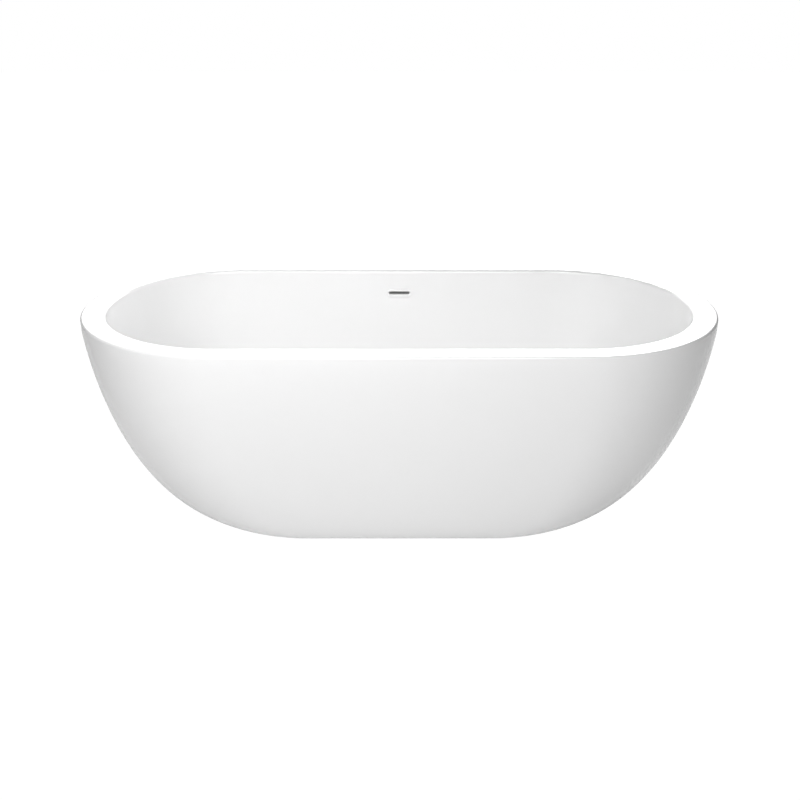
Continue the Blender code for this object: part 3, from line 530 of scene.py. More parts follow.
def handling_marks():
    """Roughness that varies with faint smears and fine straight scratches."""

    def fill(wiring, given):
        smears = wiring.spread(wiring.noise(given["Scale"], 4.0, distortion=0.6), 0.35, 0.75)
        scratched = None
        for turn in (0.3, 1.25, 2.2):
            along = wiring.stretched((4.0, 260.0, 120.0), (turn, 0.4 * turn, turn))
            line = wiring.spread(wiring.noise(given["Scale"], 2.0, along), 0.70, 0.78)
            scratched = line if scratched is None else wiring.math("MAXIMUM", scratched, line)
        marks = wiring.math(
            "MULTIPLY_ADD", scratched, given["Scratches"], wiring.math("MULTIPLY", smears, given["Smears"])
        )
        return {"Roughness": wiring.math("ADD", given["Base"], marks), "Marks": marks}

    inputs = (
        ("Base", "Float", 0.2),
        ("Scale", "Float", 5.0),
        ("Smears", "Float", 0.05),
        ("Scratches", "Float", 0.1),
    )
    return shared_group("handling_marks", inputs, (("Roughness", "Float"), ("Marks", "Float")), fill)


def settled_dust():
    """Pale dust on what faces up, and thin dust in patches elsewhere."""

    def fill(wiring, given):
        normal = wiring.add("NewGeometry").outputs["Normal"]
        upward = wiring.add("SeparateXYZ", {"Vector": normal}).outputs["Z"]
        facing = wiring.spread(upward, 0.1, 0.95, 0.25, 1.0)
        patches = wiring.spread(wiring.noise(22.0, 5.0), 0.38, 0.72)
        mask = wiring.math("MULTIPLY", wiring.math("MULTIPLY", facing, patches), given["Amount"])
        return {"Color": wiring.mix(mask, given["Color"], given["Dust"]), "Mask": mask}

    inputs = (
        ("Color", "Color", (0.5, 0.5, 0.5, 1.0)),
        ("Dust", "Color", (0.62, 0.60, 0.57, 1.0)),
        ("Amount", "Float", 0.4),
    )
    return shared_group("settled_dust", inputs, (("Color", "Color"), ("Mask", "Float")), fill)


def strand_mat():
    """Short glass strands that lie all ways, as in a sprayed or laid-up back."""

    def fill(wiring, given):
        strands = None
        for turn in (0.2, 0.9, 1.7, 2.5):
            along = wiring.stretched((7.0, 150.0, 150.0), (0.35 * turn, 0.8 * turn, turn))
            line = wiring.spread(wiring.noise(given["Scale"], 1.0, along), 0.56, 0.66)
            strands = line if strands is None else wiring.math("MAXIMUM", strands, line)
        lumps = wiring.noise(wiring.math("MULTIPLY", given["Scale"], 16.0), 2.0)
        return {"Strands": strands, "Height": wiring.math("MULTIPLY_ADD", strands, 0.5, lumps)}

    inputs = (("Scale", "Float", 1.0),)
    return shared_group("strand_mat", inputs, (("Strands", "Float"), ("Height", "Float")), fill)


# ---------------------------------------------------------------- materials


def rgba(colour_value, times=1.0):
    return (*(min(1.0, channel * times) for channel in colour_value), 1.0)


def acrylic(wiring, shader, finish):
    """Cast acrylic: gloss white, with a trace of slow waviness from the mould."""
    ripple = wiring.group(moulded_ripple, Scale=5.0, Grain=0.03)
    marks = wiring.group(
        handling_marks, Base=finish.acrylic_roughness, Scale=2.5, Smears=0.05, Scratches=0.03
    )
    tone = wiring.spread(wiring.noise(1.6, 2.0), 0.3, 0.7)
    wiring.put(
        shader.inputs["Base Color"], wiring.mix(tone, rgba(finish.acrylic, 0.985), rgba(finish.acrylic))
    )
    wiring.put(shader.inputs["Roughness"], marks["Roughness"])
    wiring.put(shader.inputs["Normal"], wiring.bump(ripple["Height"], 0.04, 0.004))
    shader.inputs["Coat Weight"].default_value = 0.35
    shader.inputs["Coat Roughness"].default_value = 0.08
    shader.inputs["Specular IOR Level"].default_value = 0.5
    shader.inputs["IOR"].default_value = 1.49


def laminate(wiring, shader, finish):
    """Glass strands in resin, as on the raw backs of the shells."""
    mat = wiring.group(strand_mat, Scale=1.0)
    wet = wiring.spread(wiring.noise(9.0, 4.0), 0.35, 0.7)
    resin = wiring.mix(wet, rgba(finish.laminate, 0.86), rgba(finish.laminate))
    strands = wiring.mix(wiring.math("MULTIPLY", mat["Strands"], 0.55), resin, rgba((0.90, 0.89, 0.84)))
    dust = wiring.group(settled_dust, Color=strands, Amount=0.25)
    wiring.put(shader.inputs["Base Color"], dust["Color"])
    wiring.put(shader.inputs["Roughness"], wiring.spread(wet, 0.0, 1.0, 0.62, 0.36))
    wiring.put(shader.inputs["Normal"], wiring.bump(mat["Height"], 0.7, 0.0015))


def plywood(wiring, shader, finish):
    """Sheathing plywood: long face grain, and the plies' stripes on the edges."""
    rings = wiring.noise(1.0, 4.0, wiring.stretched((3.0, 38.0, 38.0)), 0.8)
    fibres = wiring.noise(1.0, 3.0, wiring.stretched((30.0, 900.0, 900.0)))
    grain = wiring.mix(wiring.spread(rings, 0.35, 0.65), rgba(finish.plywood), rgba(finish.plywood, 0.72))
    grain = wiring.mix(
        wiring.math("MULTIPLY", wiring.spread(fibres, 0.45, 0.7), 0.35), grain, rgba(finish.plywood, 0.5)
    )
    place = wiring.add("SeparateXYZ", {"Vector": wiring.add("TexCoord").outputs["Object"]}).outputs["Z"]
    layer = wiring.math("PINGPONG", wiring.math("MULTIPLY", place, 1.0 / 0.003), 1.0)
    stripes = wiring.mix(
        wiring.spread(layer, 0.45, 0.55), rgba(finish.plywood, 1.15), rgba(finish.plywood, 0.55)
    )
    normal = wiring.add("NewGeometry").outputs["Normal"]
    level = wiring.math("ABSOLUTE", wiring.add("SeparateXYZ", {"Vector": normal}).outputs["Z"])
    faces = wiring.mix(wiring.spread(level, 0.3, 0.7), stripes, grain)
    dust = wiring.group(settled_dust, Color=faces, Amount=0.3)
    wiring.put(shader.inputs["Base Color"], dust["Color"])
    wiring.put(shader.inputs["Roughness"], wiring.spread(fibres, 0.3, 0.7, 0.62, 0.80))
    wiring.put(shader.inputs["Normal"], wiring.bump(fibres, 0.35, 0.0006))


def frame_steel(wiring, shader, finish):
    """Hot-dip galvanised tube: crystals of zinc, a little dulled."""
    inputs = {"Vector": wiring.add("TexCoord").outputs["Object"], "Scale": 160.0}
    crystals = wiring.add("TexVoronoi", inputs).outputs["Color"]
    tone = wiring.add("SeparateColor", {"Color": crystals}).outputs["Red"]
    metal = wiring.mix(tone, rgba(finish.steel, 0.84), rgba(finish.steel, 1.14))
    dust = wiring.group(settled_dust, Color=metal, Amount=0.3)
    marks = wiring.group(handling_marks, Base=0.38, Scale=6.0, Smears=0.12, Scratches=0.12)
    wiring.put(shader.inputs["Base Color"], dust["Color"])
    wiring.put(
        shader.inputs["Metallic"], wiring.math("SUBTRACT", 1.0, wiring.math("MULTIPLY", dust["Mask"], 0.6))
    )
    wiring.put(shader.inputs["Roughness"], wiring.math("MULTIPLY_ADD", tone, 0.12, marks["Roughness"]))


def zinc(wiring, shader, finish):
    """Bright zinc plate with a faint yellow and blue cast."""
    cast = wiring.spread(wiring.noise(60.0, 3.0), 0.35, 0.65)
    plate = wiring.mix(cast, rgba((0.74, 0.73, 0.66)), rgba(finish.zinc))
    marks = wiring.group(handling_marks, Base=0.24, Scale=30.0, Smears=0.14, Scratches=0.15)
    wiring.put(shader.inputs["Base Color"], plate)
    wiring.put(shader.inputs["Roughness"], marks["Roughness"])
    shader.inputs["Metallic"].default_value = 1.0


def foot_plastic(wiring, shader, finish):
    """Black moulded nylon, dusty where it faces up."""
    ripple = wiring.group(moulded_ripple, Scale=90.0, Grain=0.6)
    dust = wiring.group(settled_dust, Color=rgba((0.022, 0.022, 0.023)), Amount=0.22)
    marks = wiring.group(handling_marks, Base=0.42, Scale=40.0, Smears=0.15, Scratches=0.15)
    wiring.put(shader.inputs["Base Color"], dust["Color"])
    wiring.put(shader.inputs["Roughness"], marks["Roughness"])
    wiring.put(shader.inputs["Normal"], wiring.bump(ripple["Height"], 0.25, 0.0004))


def rubber(wiring, shader, finish):
    """Black moulded rubber with a dull bloom."""
    ripple = wiring.group(moulded_ripple, Scale=120.0, Grain=0.8)
    bloom = wiring.spread(wiring.noise(45.0, 4.0), 0.4, 0.7)
    black = wiring.mix(bloom, rgba((0.016, 0.016, 0.017)), rgba((0.045, 0.045, 0.046)))
    dust = wiring.group(settled_dust, Color=black, Amount=0.12)
    wiring.put(shader.inputs["Base Color"], dust["Color"])
    wiring.put(shader.inputs["Roughness"], wiring.spread(bloom, 0.0, 1.0, 0.62, 0.82))
    wiring.put(shader.inputs["Normal"], wiring.bump(ripple["Height"], 0.3, 0.0003))


def chrome(wiring, shader, finish):
    """Chrome plate with faint smears and dried water spots."""
    marks = wiring.group(handling_marks, Base=0.045, Scale=25.0, Smears=0.05, Scratches=0.05)
    spots = wiring.spread(wiring.noise(420.0, 1.0), 0.66, 0.72)
    plate = wiring.mix(wiring.math("MULTIPLY", spots, 0.12), rgba(finish.chrome), rgba((0.93, 0.93, 0.92)))
    wiring.put(shader.inputs["Base Color"], plate)
    wiring.put(shader.inputs["Roughness"], wiring.math("MULTIPLY_ADD", spots, 0.08, marks["Roughness"]))
    shader.inputs["Metallic"].default_value = 1.0


def brass(wiring, shader, finish):
    """Turned brass: fine level rings left by the tool, a little tarnished."""
    rings = wiring.noise(1.0, 2.0, wiring.stretched((2.0, 2.0, 5200.0)))
    tarnish = wiring.spread(wiring.noise(90.0, 4.0), 0.45, 0.75)
    metal = wiring.mix(wiring.math("MULTIPLY", tarnish, 0.5), rgba(finish.brass), rgba((0.42, 0.27, 0.12)))
    marks = wiring.group(handling_marks, Base=0.22, Scale=60.0, Smears=0.12, Scratches=0.1)
    wiring.put(shader.inputs["Base Color"], metal)
    wiring.put(shader.inputs["Roughness"], marks["Roughness"])
    wiring.put(shader.inputs["Normal"], wiring.bump(rings, 0.2, 0.0001))
    shader.inputs["Metallic"].default_value = 1.0


def pipe_plastic(wiring, shader, finish):
    """Pale moulded polypropylene, faintly mottled."""
    ripple = wiring.group(moulded_ripple, Scale=60.0, Grain=0.3)
    marks = wiring.group(handling_marks, Base=0.34, Scale=18.0, Smears=0.1, Scratches=0.12)
    flow = wiring.spread(wiring.noise(28.0, 3.0, distortion=1.2), 0.3, 0.7)
    plastic = wiring.mix(flow, rgba(finish.pipe_plastic, 0.96), rgba(finish.pipe_plastic))
    dust = wiring.group(settled_dust, Color=plastic, Amount=0.06)
    wiring.put(shader.inputs["Base Color"], dust["Color"])
    wiring.put(shader.inputs["Roughness"], marks["Roughness"])
    wiring.put(shader.inputs["Normal"], wiring.bump(ripple["Height"], 0.12, 0.0005))


def hose_plastic(wiring, shader, finish):
    """Grey extruded polypropylene, dusty on top of its corrugations."""
    ripple = wiring.group(moulded_ripple, Scale=80.0, Grain=0.4)
    marks = wiring.group(handling_marks, Base=0.36, Scale=20.0, Smears=0.12, Scratches=0.1)
    flow = wiring.spread(wiring.noise(35.0, 3.0), 0.3, 0.7)
    plastic = wiring.mix(flow, rgba(finish.hose_plastic, 0.9), rgba(finish.hose_plastic))
    dust = wiring.group(settled_dust, Color=plastic, Amount=0.25)
    wiring.put(shader.inputs["Base Color"], dust["Color"])
    wiring.put(shader.inputs["Roughness"], marks["Roughness"])
    wiring.put(shader.inputs["Normal"], wiring.bump(ripple["Height"], 0.15, 0.0004))


FINISHES = {
    made.__name__: made
    for made in (
        acrylic,
        laminate,
        plywood,
        frame_steel,
        zinc,
        foot_plastic,
        rubber,
        chrome,
        brass,
        pipe_plastic,
        hose_plastic,
    )
}


def material(name):
    """One of the finishes, made the first time that it is asked for."""
    label = f"{name}_finish"
    made = bpy.data.materials.get(label)
    if made is None:
        made = bpy.data.materials.new(label)
        made.use_nodes = True
        shader = made.node_tree.nodes["Principled BSDF"]
        FINISHES[name](Wiring(made.node_tree), shader, bpy.context.scene.tub_finish)
    return made


# ---------------------------------------------------------------- shells


def rim_curve(sizes):
    """The rim's rings: up the lip's outer face, over the rounded edges and across the flat rim."""
    half_length, half_width = sizes.length / 2, sizes.width / 2
    rings = [stadium(half_length, half_width, sizes.height - sizes.rim_lip)]
    steps = 8
    for step in range(steps + 1):
        angle = pi / 2 * step / steps
        inset = sizes.rim_outer_radius * (1 - cos(angle))
        rings.append(
            stadium(
                half_length - inset,
                half_width - inset,
                sizes.height - sizes.rim_outer_radius * (1 - sin(angle)),
            )
        )
    inner_length, inner_width = half_length - sizes.rim_width, half_width - sizes.rim_width
    for step in range(steps):
        angle = pi / 2 * step / steps
        outset = sizes.rim_inner_radius * (1 - sin(angle))
        z = sizes.height - sizes.rim_inner_radius * (1 - cos(angle))
        rings.append(stadium(inner_length + outset, inner_width + outset, z))
    return rings


def thick_shell(name, rings, wall):
    """A wall whose finished face is the rings' and whose back is raw laminate."""
    shell = open_sheet(name, ["acrylic", "laminate"], rings)
    modifier = shell.modifiers.new("wall", "SOLIDIFY")
    modifier.thickness = wall
    modifier.offset = -1.0
    modifier.use_even_offset = True
    modifier.material_offset = 1
    modifier.material_offset_rim = 1
    bpy.context.view_layer.update()
    return apply_modifiers(shell)


class TUB_OT_shells(bpy.types.Operator):
    """Builds the basin with its rim and the skirt round it"""

    bl_idname = "tub.shells"
    bl_label = "Basin and Skirt"
    bl_options = {"REGISTER", "UNDO"}

    def execute(self, context):
        sizes, fittings = context.scene.tub_shells, context.scene.tub_fittings
        self.build_basin(sizes, fittings)
        self.build_skirt(sizes)
        bond = frame["nodes"]["rim_bond_strip"]
        bond.data.materials.clear()
        bond.data.materials.append(material("laminate"))
        return {"FINISHED"}

    def build_basin(self, sizes, fittings):
        rings = rim_curve(sizes)
        inner_length = sizes.length / 2 - sizes.rim_width
        inner_width = sizes.width / 2 - sizes.rim_width
        steps = 44
        for step in range(steps + 1):
            end, side, z = basin_curve(sizes, step / steps)
            rings.append(stadium(inner_length - end, inner_width - side, z))
        rings += self.floor_rings(sizes, fittings, rings[-1])
        basin = thick_shell("basin", rings, sizes.wall)
        room = 0.0036  # twice the spigot's wall and its play
        hole_length = fittings.slot_length + room
        hole_height = fittings.slot_height + room
        depths = (-0.002, sizes.wall + 0.002)
        cut = [slot_outline(hole_length, hole_height, y, fittings.slot_raise) for y in depths]
        slot = loft("overflow_slot_cut", ["laminate"], cut, capped=True)
        slot.matrix_world = overflow_seat(sizes, fittings)
        take_name(combine(basin, slot, "DIFFERENCE"), "basin")

    def floor_rings(self, sizes, fittings, edge):
        """The floor's fall to the waste and the soft-edged sink round it."""
        level = sizes.floor_height - sizes.floor_fall
        brink = waste_circle(fittings.recess_radius + sizes.wall / 2, level)
        rings = []
        steps = 5
        for step in range(1, steps + 1):
            t = step / steps
            ring = [a.lerp(b, t) for a, b in zip(edge, brink)]
            for point, a, b in zip(ring, edge, brink):
                point.z = a.z + (b.z - a.z) * t * (2 - t)
            rings.append(ring)
        steps = 6
        for step in range(1, steps + 1):
            t = step / steps
            radius = fittings.recess_radius + sizes.wall / 2 * (1 - t)
            fall = fittings.recess_depth * (3 * t * t - 2 * t**3)
            rings.append(waste_circle(radius, level - fall))
        middle = (fittings.recess_radius + fittings.waste_hole_radius) / 2
        bottom = level - fittings.recess_depth
        return [*rings, waste_circle(middle, bottom), waste_circle(fittings.waste_hole_radius, bottom)]

    def build_skirt(self, sizes):
        end, side, low = skirt_curve(sizes, 1.0)
        half_length, half_width = sizes.length / 2, sizes.width / 2
        foot = sizes.skirt_flange
        rings = [stadium(half_length - end - foot, half_width - side - foot, low)]
        steps = 44
        for step in range(steps, -1, -1):
            end, side, z = skirt_curve(sizes, step / steps)
            rings.append(stadium(half_length - end, half_width - side, z))
        rings.append(stadium(half_length, half_width, sizes.height - sizes.rim_lip - sizes.rim_seam))
        take_name(thick_shell("outer_shell", rings, sizes.wall), "outer_shell")


# ---------------------------------------------------------------- shapes that several pieces share


def threaded_rings(radius, depth, pitch, bottom, top, steps=SMALL_STEPS, plain=0.0):
    """Rings of a helical V thread, going up, which fades out over its first and last turn."""
    rings = []
    rows = max(2, round((top - bottom) / pitch * 6))
    for row in range(rows + 1):
        z = bottom + (top - bottom) * row / rows
        ends = min(z - bottom - plain, top - plain - z) / pitch
        fade = max(0.0, min(1.0, ends))
        ring = []
        for k in range(steps):
            phase = z / pitch - k / steps
            groove = 1 - abs(2 * (phase - floor(phase)) - 1)
            own = radius - depth * fade * groove
            angle = 2 * pi * k / steps
            ring.append(Vector((own * cos(angle), own * sin(angle), z)))
        rings.append(ring)
    return rings


def fluted_ring(radius, depth, count, z, steps):
    """A circle with round-bottomed grooves, as on a hand nut."""
    ring = []
    for k in range(steps):
        angle = 2 * pi * k / steps
        groove = max(0.0, cos(count * angle)) ** 2
        own = radius - depth * groove
        ring.append(Vector((own * cos(angle), own * sin(angle), z)))
    return ring


def nut_rings(flats, bottom, top, chamfer, steps=48):
    """The outside of a hexagon nut whose corners are turned down at both ends."""
    corner = flats / 2 / cos(pi / 6)
    rings = []
    heights = ((0.0, 0.99), (0.35, 1.06), (1.0, 2.0))
    for share_up, most in heights:
        cut = flats / 2 * most if most < 2 else corner
        rings.append(polygon(flats, 6, bottom + chamfer * share_up, steps, cut))
    for share_up, most in reversed(heights):
        cut = flats / 2 * most if most < 2 else corner
        rings.append(polygon(flats, 6, top - chamfer * share_up, steps, cut))
    return rings


def tube_along(path, squares, radii, steps):
    """Rings across a line of points in the YZ plane, with a radius for each point."""
    across = Vector((1, 0, 0))
    rings = []
    for point, square, radius in zip(path, squares, radii):
        angles = [2 * pi * k / steps for k in range(steps)]
        rings.append([point + radius * (cos(a) * across + sin(a) * square) for a in angles])
    return rings


def weld_bead(path, radius, ripple):
    """A closed rope of weld round a path of points, with the ripples of a run of weld."""
    build = bmesh.new()
    count, sides = len(path), 8
    rows = []
    for k, point in enumerate(path):
        along = (path[(k + 1) % count] - path[k - 1]).normalized()
        first = along.orthogonal().normalized()
        second = along.cross(first)
        own = radius * (1 + ripple * sin(2 * pi * k / 3.0) + ripple * 0.6 * sin(k * 1.7))
        turns = (2 * pi * side / sides for side in range(sides))
        rows.append([build.verts.new(point + own * (cos(a) * first + sin(a) * second)) for a in turns])
    for k in range(count):
        row, following = rows[k], rows[(k + 1) % count]
        shift = min(range(sides), key=lambda s: (following[s].co - row[0].co).length)
        for side in range(sides):
            corners = (row[side], row[(side + 1) % sides])
            others = (following[(side + 1 + shift) % sides], following[(side + shift) % sides])
            build.faces.new((*corners, *others))
    return build


def copy_of(piece, name):
    """The same piece again, with its own mesh."""
    twin = bpy.data.objects.new(name, piece.data.copy())
    twin.matrix_world = piece.matrix_world
    bpy.context.scene.collection.objects.link(twin)
    return twin


def cylinders(name, places, radius, bottom, top, steps=SMALL_STEPS):
    """One cutter with an upright cylinder at each (x, y)."""
    build = bmesh.new()
    for x, y in places:
        rings = [[point + Vector((x, y, 0)) for point in circle(radius, z, steps)] for z in (bottom, top)]
        skin_rings(build, rings, capped=True)
    return mesh_piece(name, [], build)


# ---------------------------------------------------------------- base board and frame


def rounded_rectangle(length_x, length_y, corner, inset, z, steps=12):
    points = []
    for turn, (x, y) in enumerate(((1, -1), (1, 1), (-1, 1), (-1, -1))):
        for step in range(steps + 1):
            angle = pi / 2 * (turn - 1 + step / steps)
            middle = Vector((x * (length_x / 2 - corner), y * (length_y / 2 - corner), z))
            points.append(middle + (corner - inset) * Vector((cos(angle), sin(angle), 0)))
    return points


class TUB_OT_frame(bpy.types.Operator):
    """Builds the base board, the welded tube frame and the screws that hold the board down"""

    bl_idname = "tub.frame"
    bl_label = "Board and Frame"
    bl_options = {"REGISTER", "UNDO"}

    def execute(self, context):
        self.fittings = context.scene.tub_fittings
        self.screw_places = [self.middle(f"frame_screw_{number}")[:2] for number in range(1, SCREWS + 1)]
        self.foot_places = [self.middle(f"foot_stud_{number}")[:2] for number in range(1, FEET + 1)]
        self.build_board()
        for node in ("frame_rail_front", "frame_rail_back"):
            self.build_tube(node, along_y=False)
        for place in ("left", "centre", "right"):
            self.build_tube(f"frame_cross_{place}", along_y=True)
        self.build_screws()
        return {"FINISHED"}

    def middle(self, node):
        low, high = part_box(node)
        return (low + high) / 2

    def build_board(self):
        """Plywood with eased edges, a hole for the waste and the screws' pilot holes."""
        low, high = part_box("base_board")
        size = high - low
        ease = 0.0015
        insets = ((low.z, ease), (low.z + ease * 0.4, ease * 0.3), (low.z + ease, 0.0))
        insets += ((high.z - ease, 0.0), (high.z - ease * 0.4, ease * 0.3), (high.z, ease))
        rings = [rounded_rectangle(size.x, size.y, 0.040, inset, z) for z, inset in insets]
        board = loft("base_board", ["plywood"], rings, capped=True)
        hole = 0.049
        profile = ((hole + ease + 0.001, low.z - 0.001), (hole, low.z + ease), (hole, high.z - ease))
        profile += ((hole + ease + 0.001, high.z + 0.001),)
        combine(board, turned("waste_hole_cut", "plywood", profile, steps=96), "DIFFERENCE")
        pilots = cylinders("pilot_cut", self.screw_places, 0.0027, low.z - 0.011, low.z + 0.0113, 16)
        take_name(combine(board, pilots, "DIFFERENCE"), "base_board")

    def build_tube(self, node, along_y):
        """A sawn length of square tube with rounded corners, drilled, with its weld where it meets a rail."""
        low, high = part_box(node)
        size, middle = high - low, (low + high) / 2
        half, wall = size.z / 2, 0.002
        corner = self.fittings.tube_corner
        reach = (size.y if along_y else size.x) / 2
        rings = []
        for side, end, radius in ((half, -1, corner), (half, 1, corner), (half - wall, 1, corner - wall)):
            rings.append(self.tube_section(side, radius, end * reach))
        rings.append(self.tube_section(half - wall, corner - wall, -reach))
        tube = loft(node, ["frame_steel"], rings, closed=True)
        if along_y:
            for end in (-1, 1):
                section = self.tube_section(half + 0.0004, corner, end * (reach - 0.0016))
                path = self.evenly(section, 0.0016)
                bead = mesh_piece("weld", ["frame_steel"], weld_bead(path, 0.0017, 0.10), sharp=60)
                combine(tube, bead, "UNION")
            for vertex in tube.data.vertices:
                vertex.co = Vector((-vertex.co.y, vertex.co.x, vertex.co.z))
        tube.location = middle
        screws = [place for place in self.screw_places if abs(place[1] - middle.y) < half]
        feet = [place for place in self.foot_places if abs(place[1] - middle.y) < half]
        if along_y:
            screws, feet = [], [place for place in self.foot_places[4:] if abs(place[0] - middle.x) < half]
        if screws:
            combine(
                tube, cylinders("screw_cut", screws, 0.0027, low.z - 0.001, high.z + 0.001, 16), "DIFFERENCE"
            )
        if feet:
            combine(tube, cylinders("stud_cut", feet, 0.0062, low.z - 0.002, low.z + 0.004), "DIFFERENCE")
        take_name(tube, node)

    def tube_section(self, half, radius, x, steps=4):
        points = []
        for turn, (y, z) in enumerate(((1, -1), (1, 1), (-1, 1), (-1, -1))):
            for step in range(steps + 1):
                angle = pi / 2 * (turn - 1 + step / steps)
                corner = Vector((x, y * (half - radius), z * (half - radius)))
                points.append(corner + radius * Vector((0, cos(angle), sin(angle))))
        return points

    def evenly(self, section, spacing):
        """The section's outline again, with points the same distance apart."""
        outline = section + [section[0]]
        lengths = [(b - a).length for a, b in zip(outline, outline[1:])]
        count = round(sum(lengths) / spacing)
        points = []
        for k in range(count):
            along = sum(lengths) * k / count
            index = 0
            while along > lengths[index]:
                along -= lengths[index]
                index += 1
            points.append(outline[index].lerp(outline[index + 1], along / lengths[index]))
        return points

    def build_screws(self):
        """Self-drilling screws: a washer face, a hexagon head and a threaded shank with a point."""
        low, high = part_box("frame_screw_1")
        head_top = low.z + 0.003
        rings = [
            circle(0.0009, low.z + 0.0006, 24), circle(0.0024, low.z + 0.0006, 24), circle(0.0027, low.z, 24)
        ]
        rings += [polygon(0.0064, 6, low.z + 0.0001, 24, 0.0033), polygon(0.0064, 6, low.z + 0.0004, 24)]
        rings += [polygon(0.0064, 6, head_top - 0.0009, 24), circle(0.0043, head_top - 0.0008, 24)]
        rings += [circle(0.0045, head_top - 0.0005, 24), circle(0.0045, head_top, 24)]
        rings += threaded_rings(0.0025, 0.0005, 0.0018, head_top, high.z - 0.005, 24)
        rings += [circle(0.0019, high.z - 0.0045, 24), circle(0.0004, high.z, 24)]
        first = loft("frame_screw", ["zinc"], rings, capped=True)
        for number, (x, y) in enumerate(self.screw_places, 1):
            screw = copy_of(first, f"frame_screw_{number}")
            screw.location = (x, y, 0)
            take_name(screw, f"frame_screw_{number}")
        bpy.data.objects.remove(first)


# ---------------------------------------------------------------- levelling feet


class TUB_OT_feet(bpy.types.Operator):
    """Builds the five levelling feet, each a pad, a threaded stud, a lock nut and a weld nut"""

    bl_idname = "tub.feet"
    bl_label = "Levelling Feet"
    bl_options = {"REGISTER", "UNDO"}

    def execute(self, context):
        pitch = context.scene.tub_fittings.thread_pitch
        first = {"pad": self.build_pad(), "stud": self.build_stud(pitch)}
        first["weld_nut"] = self.build_nut("weld_nut", welded=True)
        first["lock_nut"] = self.build_nut("lock_nut", welded=False)
        for number in range(1, FEET + 1):
            low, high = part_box(f"foot_pad_{number}")
            for part, piece in first.items():
                node = f"foot_{part}_{number}"
                copy = copy_of(piece, node)
                copy.location = ((low.x + high.x) / 2, (low.y + high.y) / 2, 0)
                take_name(copy, node)
        for piece in first.values():
            bpy.data.objects.remove(piece)
        return {"FINISHED"}

    def build_pad(self):
        """A moulded pad: ribs from the rim up to the socket, and grip rings underneath."""
        low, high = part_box("foot_pad_1")
        radius, top = (high.x - low.x) / 2, high.z
        bore, floor_z = 0.0064, 0.0053 - 0.0003
        profile = [(radius, 0.0006), (radius, 0.0034), (radius - 0.0006, 0.0042), (radius - 0.0016, 0.0046)]
        profile += [(radius - 0.0030, 0.0044), (0.0140, 0.0052), (0.0119, 0.0060), (0.0113, 0.0075)]
        profile += [(0.0110, top - 0.0008), (0.0106, top - 0.0002), (0.0100, top), (bore + 0.0006, top)]
        profile += [(bore, top - 0.0006), (bore, floor_z)]
        under = []
        for groove in (0.006, 0.010, 0.014, 0.018, 0.022):
            under += [
                (groove - 0.0009, 0.0),
                (groove - 0.0006, 0.0006),
                (groove + 0.0006, 0.0006),
                (groove + 0.0009, 0.0),
            ]
        profile = under + [(radius - 0.0006, 0.0)] + profile
        pad = turned("foot_pad", "foot_plastic", profile, steps=96)
        build = bmesh.new()
        outline = (
            (0.0088, 0.0046),
            (0.0218, 0.0040),
            (0.0218, 0.0066),
            (0.0205, 0.0080),
            (0.0116, 0.0185),
            (0.0088, 0.0185),
        )
        for rib in range(8):
            turn = Matrix.Rotation(2 * pi * rib / 8, 3, "Z")
            rings = [[turn @ Vector((r, y, z)) for r, z in outline] for y in (-0.0009, 0.0009)]
            skin_rings(build, rings, capped=True)
        return combine(pad, mesh_piece("foot_ribs", ["foot_plastic"], build), "UNION")

    def build_stud(self, pitch):
        """A stud with a helical thread, a plain foot and the hexagon that it is turned by."""
        low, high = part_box("foot_stud_1")
        radius, collar, collar_top = 0.006, 0.0206, 0.0286
        rings = [circle(radius * 0.55, low.z, SMALL_STEPS), circle(radius * 0.8, low.z + 0.0003, SMALL_STEPS)]
        rings += [circle(radius, low.z + 0.0015, SMALL_STEPS), circle(radius, collar, SMALL_STEPS)]
        rings += [
            polygon(0.015, 6, z, SMALL_STEPS, most) for z, most in self.collar_steps(collar, collar_top)
        ]
        rings += threaded_rings(radius, 0.00095, pitch, collar_top, high.z - 0.0010)
        rings += [circle(radius * 0.82, high.z, SMALL_STEPS)]
        return loft("foot_stud", ["zinc"], rings, capped=True)

    def collar_steps(self, bottom, top):
        return ((bottom, 0.0074), (bottom + 0.0007, None), (top - 0.0007, None), (top, 0.0074))

    def build_nut(self, part, welded):
        low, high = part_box(f"foot_{part}_1")
        bore, flats, steps = 0.0064, 0.019, 48
        rings = nut_rings(flats, low.z, high.z, 0.0014, steps)
        rings += [circle(bore + 0.0007, high.z, steps), circle(bore, high.z - 0.0007, steps)]
        rings += [circle(bore, low.z + 0.0007, steps), circle(bore + 0.0007, low.z, steps)]
        nut = loft(f"foot_{part}", ["zinc"], rings, closed=True)
        if welded:
            path = [Vector((0.0096 * cos(2 * pi * k / 40), 0.0096 * sin(2 * pi * k / 40), high.z - 0.0013)) for k in range(40)]
            combine(nut, mesh_piece("weld", ["zinc"], weld_bead(path, 0.0012, 0.12), sharp=60), "UNION")
        return nut


# ---------------------------------------------------------------- waste


